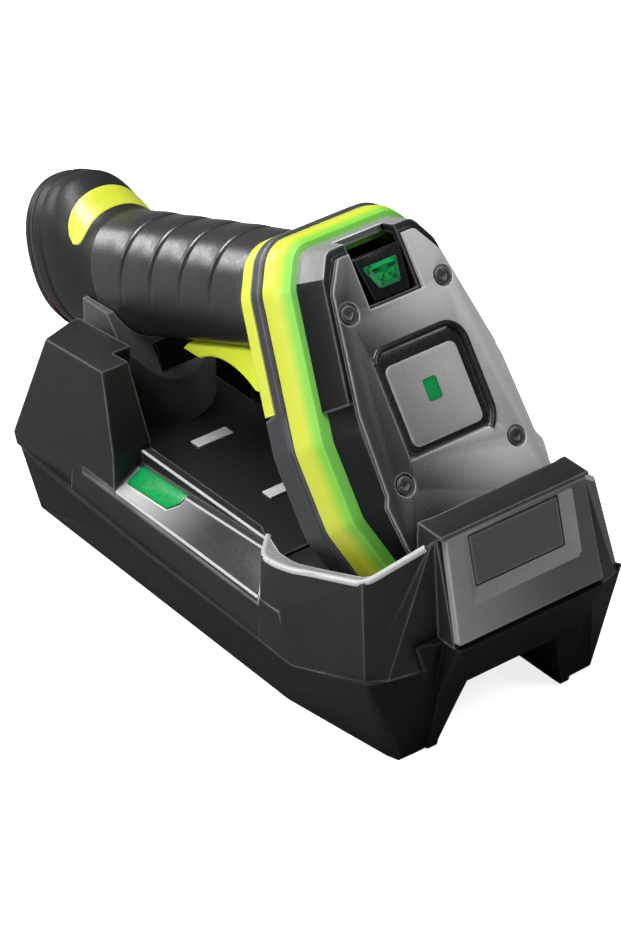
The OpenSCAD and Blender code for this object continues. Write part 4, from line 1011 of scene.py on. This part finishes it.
class SCANNER_OT_front_panel(bpy.types.Operator):
    """Builds the front panel, which falls to its sunk call button by wide bevels"""
    bl_idname = "scanner.front_panel"
    bl_label = "Front panel"

    def execute(self, context):
        edge = context.scene.scanner_cradle.trim_edge / MM
        low, high, foot, top = 28.2, 26.8, 0.0, 33.6
        turn = np.linspace(0, math.pi / 2, 5)
        rows = [(low, high, foot, top, 1.0, -PANEL_THICK)]
        rows += [(low - step, high - step, foot + step, top - step, 1.0, out) for step, out in zip(
            edge * 1.5 * (1 - np.cos(turn)), edge * 1.5 * (np.sin(turn) - 1))]
        rows += [(21.4, 21.4, 10.4, 32.4, 1.2, 0.0), (21.1, 21.1, 10.7, 32.3, 1.15, -0.1),
                 (17.5, 17.5, 14.5, 31.1, 0.6, -2.1), (17.4, 17.4, 14.6, 31.0, 0.5, -PANEL_THICK)]
        face = closed_ring("front_face", panel_ring(rows), sharp=12)
        dress(face, "cradle", "trim_grey", "panel bevel", "front_panel")
        # The panel's grey darkens to the right as painted shade; the bevels that face the light, the one
        # below the button and the one on its right, get a paler grey as a painted highlight.
        mark_faces(face.data, 1, lambda centre, normal: (
            ((normal @ PANEL_UP > 0.25) | (normal[:, 0] < -0.25)) & (normal @ PANEL_OUT > 0.5)))
        rows = [(17.0, 17.0, 15.0, 30.6, 0.6, -5.6), (17.0, 17.0, 15.0, 30.6, 0.6, -2.3),
                (16.7, 16.7, 15.3, 30.3, 0.6, -2.0)]
        button = closed_tube("call_button", panel_ring(rows), 30)
        dress(button, "paging_button", "plate_grey", "button", "paging_button")
        # A thin wall behind the button's switch board closes the block towards the cup.
        rows = [(24.0, 24.0, 6.0, 32.4, 1.0, -9.1), (24.0, 24.0, 6.0, 32.4, 1.0, -8.5)]
        lining = closed_tube("block_lining", panel_ring(rows), 30)
        dress(lining, "cradle", "charcoal_plastic", "cover")
        return {"FINISHED"}


class SCANNER_OT_trims(bpy.types.Operator):
    """Rounds the side trims, the lens, the deck pads and the sockets"""
    bl_idname = "scanner.trims"
    bl_label = "Cradle trims"

    def execute(self, context):
        edge = context.scene.scanner_cradle.trim_edge
        for source, name, body, slot, finish_name, radius in (
            ("left_trim", "side_trim_left", "cradle", "trim_grey", "trim", edge),
            ("right_trim", "side_trim_right", "cradle", "trim_grey", "trim", edge),
            ("status_lens", "status_gem", "cradle", "green_lens", "green", 1.5 * edge),
            # The deck pads' pale grey is a painted highlight.
            ("deck_pads", "deck_pads_painted_highlight", "cradle", "pale_plastic", "pad_highlight", 0.6 * edge),
            ("power_inlet", "power_socket", "cradle", "black_plastic", "black", 0.6 * edge),
            ("data_port", "data_socket", "cradle", "black_plastic", "black", 0.6 * edge),
            ("rubber_feet", "floor_feet", "cradle", "charcoal_rubber", "foot", 0.6 * edge),
            ("contact_block", "contact_holder", "cradle", "black_plastic", "black", 0.5 * edge),
        ):
            piece = rounded_copy(source, name, radius)
            dress(piece, body, slot, finish_name, source)
        paint_nodes(
            paging_switch="board", status_board="board", contact_pins="gold", cradle_board="board",
            base_screws="steel", scan_engine="dark_metal", illumination_board="board", main_board="board",
            beeper="black")
        return {"FINISHED"}


# --- Stage ------------------------------------------------------------------------------------


def white_to_camera(tree, shade_output, surface_input, strength):
    """Adds a white glow for the camera's own rays only, so that the ground reads as white."""
    path = tree.nodes.new("ShaderNodeLightPath")
    amount = calc(tree, "MULTIPLY", path.outputs["Is Camera Ray"], strength)
    glow = node(tree, "ShaderNodeEmission", Color=(1, 1, 1, 1), Strength=amount)
    both = tree.nodes.new("ShaderNodeAddShader")
    tree.links.new(shade_output, both.inputs[0])
    tree.links.new(glow.outputs[0], both.inputs[1])
    tree.links.new(both.outputs[0], surface_input)


def soft_lamp(name, place, aim, size, power, colour=(1, 1, 1)):
    """A square area lamp at the place that faces the aim."""
    light = bpy.data.lights.new(name, "AREA")
    light.shape = "RECTANGLE"
    light.size, light.size_y = size
    light.energy = power * bpy.context.scene.scanner_stage.lamp
    light.color = colour
    lamp = bpy.data.objects.new(name, light)
    lamp.location = place
    lamp.rotation_euler = (Vector(aim) - Vector(place)).to_track_quat("-Z", "Y").to_euler()
    bpy.context.scene.collection.objects.link(lamp)


class SCANNER_OT_stage(bpy.types.Operator):
    """Sets the pale floor, the soft lamps, the white surround and the camera"""
    bl_idname = "scanner.stage"
    bl_label = "Stage, lamps and camera"

    def execute(self, context):
        scene = context.scene
        scene.view_settings.view_transform = "Standard"
        side = scene.scanner_stage.floor / 2
        mesh = bpy.data.meshes.new("studio_floor")
        corners = [(-side, -side, 0), (side, -side, 0), (side, side, 0), (-side, side, 0)]
        mesh.from_pydata(corners, [], [(0, 1, 2, 3)])
        floor = link("studio_floor", mesh)
        paper = bpy.data.materials.new("Studio paper")
        paper.use_nodes = True
        tree = paper.node_tree
        shader = tree.nodes["Principled BSDF"]
        rays = tree.nodes.new("ShaderNodeLightPath")
        feed(tree, shader.inputs["Base Color"], span(tree, rays.outputs["Is Glossy Ray"], 0.0, 1.0, 0.8, 0.2))
        feed(tree, shader.inputs["Roughness"], 0.9)
        feed(tree, shader.inputs["Specular IOR Level"], 0.1)
        white_to_camera(tree, shader.outputs[0], tree.nodes["Material Output"].inputs["Surface"], 0.8)
        mesh.materials.append(paper)

        world = bpy.data.worlds.new("Studio surround")
        scene.world = world
        world.use_nodes = True
        tree = world.node_tree
        ground = tree.nodes["Background"]
        path = tree.nodes.new("ShaderNodeLightPath")
        feed(tree, ground.inputs["Color"], (1, 1, 1, 1))
        feed(tree, ground.inputs["Strength"], span(tree, path.outputs["Is Camera Ray"], 0.0, 1.0, 0.12, 1.0))

        middle = Vector((0.0, 0.015, 0.06))
        soft_lamp("Overhead softbox", (-0.3, 0.35, 1.1), middle, (0.9, 0.3), 24)
        soft_lamp("Left softbox", (-1.1, 0.25, 0.65), middle, (0.4, 0.5), 7)
        soft_lamp("Back strip", (-0.42, 1.3, 0.36), middle, (0.9, 0.2), 7)
        soft_lamp("Right softbox", (0.3, -0.8, 1.0), middle, (0.3, 0.4), 4)
        soft_lamp("Front fill", (-0.45, -1.25, 0.6), middle, (0.7, 0.5), 1.5)

        target = Vector((0.0413, 0.0473, 0.0))
        distance = 1.5
        turn, rise = math.radians(-38.6), math.radians(33.4)
        back = Vector((math.sin(turn) * math.cos(rise), -math.cos(turn) * math.cos(rise), math.sin(rise)))
        lens = bpy.data.cameras.new("Studio camera")
        lens.lens = 176.9
        lens.sensor_width = 36.0
        lens.clip_start, lens.clip_end = 0.05, 50.0
        camera = bpy.data.objects.new("Studio camera", lens)
        camera.location = target + back * distance
        camera.rotation_euler = (-back).to_track_quat("-Z", "Y").to_euler()
        scene.collection.objects.link(camera)
        scene.camera = camera
        return {"FINISHED"}


# --- Panel and registration -------------------------------------------------------------------


GROUPS = {
    "scanner_head": HeadSizes, "scanner_grip": GripSizes, "scanner_cradle": CradleSizes,
    "scanner_finishes": Finishes, "scanner_stage": StageSizes}
OPERATORS = (
    SCANNER_OT_stage, SCANNER_OT_bumper, SCANNER_OT_shells, SCANNER_OT_plate, SCANNER_OT_grip,
    SCANNER_OT_trigger, SCANNER_OT_foot, SCANNER_OT_cradle, SCANNER_OT_front_panel, SCANNER_OT_trims)


class SCANNER_PT_panel(bpy.types.Panel):
    """Lists the sizes, the colours and the steps that build the scanner"""
    bl_idname = "SCANNER_PT_panel"
    bl_label = "Docked scanner"
    bl_space_type = "VIEW_3D"
    bl_region_type = "UI"
    bl_category = "Scanner"

    def draw(self, context):
        for name, group in GROUPS.items():
            column = self.layout.box().column()
            for key in group.__annotations__:
                column.prop(getattr(context.scene, name), key)
        for operator in OPERATORS:
            self.layout.operator(operator.bl_idname)


def register():
    """Registers the property groups, the operators and the panel."""
    for name, group in GROUPS.items():
        bpy.utils.register_class(group)
        setattr(bpy.types.Scene, name, PointerProperty(type=group))
    for operator in OPERATORS:
        bpy.utils.register_class(operator)
    bpy.utils.register_class(SCANNER_PT_panel)


def unregister():
    """Takes them out again."""
    bpy.utils.unregister_class(SCANNER_PT_panel)
    for operator in reversed(OPERATORS):
        bpy.utils.unregister_class(operator)
    for name, group in reversed(list(GROUPS.items())):
        delattr(bpy.types.Scene, name)
        bpy.utils.unregister_class(group)


def main():
    """Registers the add-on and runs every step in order."""
    register()
    FINISHES.update(make_finishes())
    bpy.ops.scanner.stage()
    bpy.ops.scanner.bumper()
    bpy.ops.scanner.shells()
    bpy.ops.scanner.plate()
    bpy.ops.scanner.grip()
    bpy.ops.scanner.trigger()
    bpy.ops.scanner.foot()
    bpy.ops.scanner.cradle()
    bpy.ops.scanner.front_panel()
    bpy.ops.scanner.trims()
    bpy.context.view_layer.update()


if __name__ == "__main__":
    main()
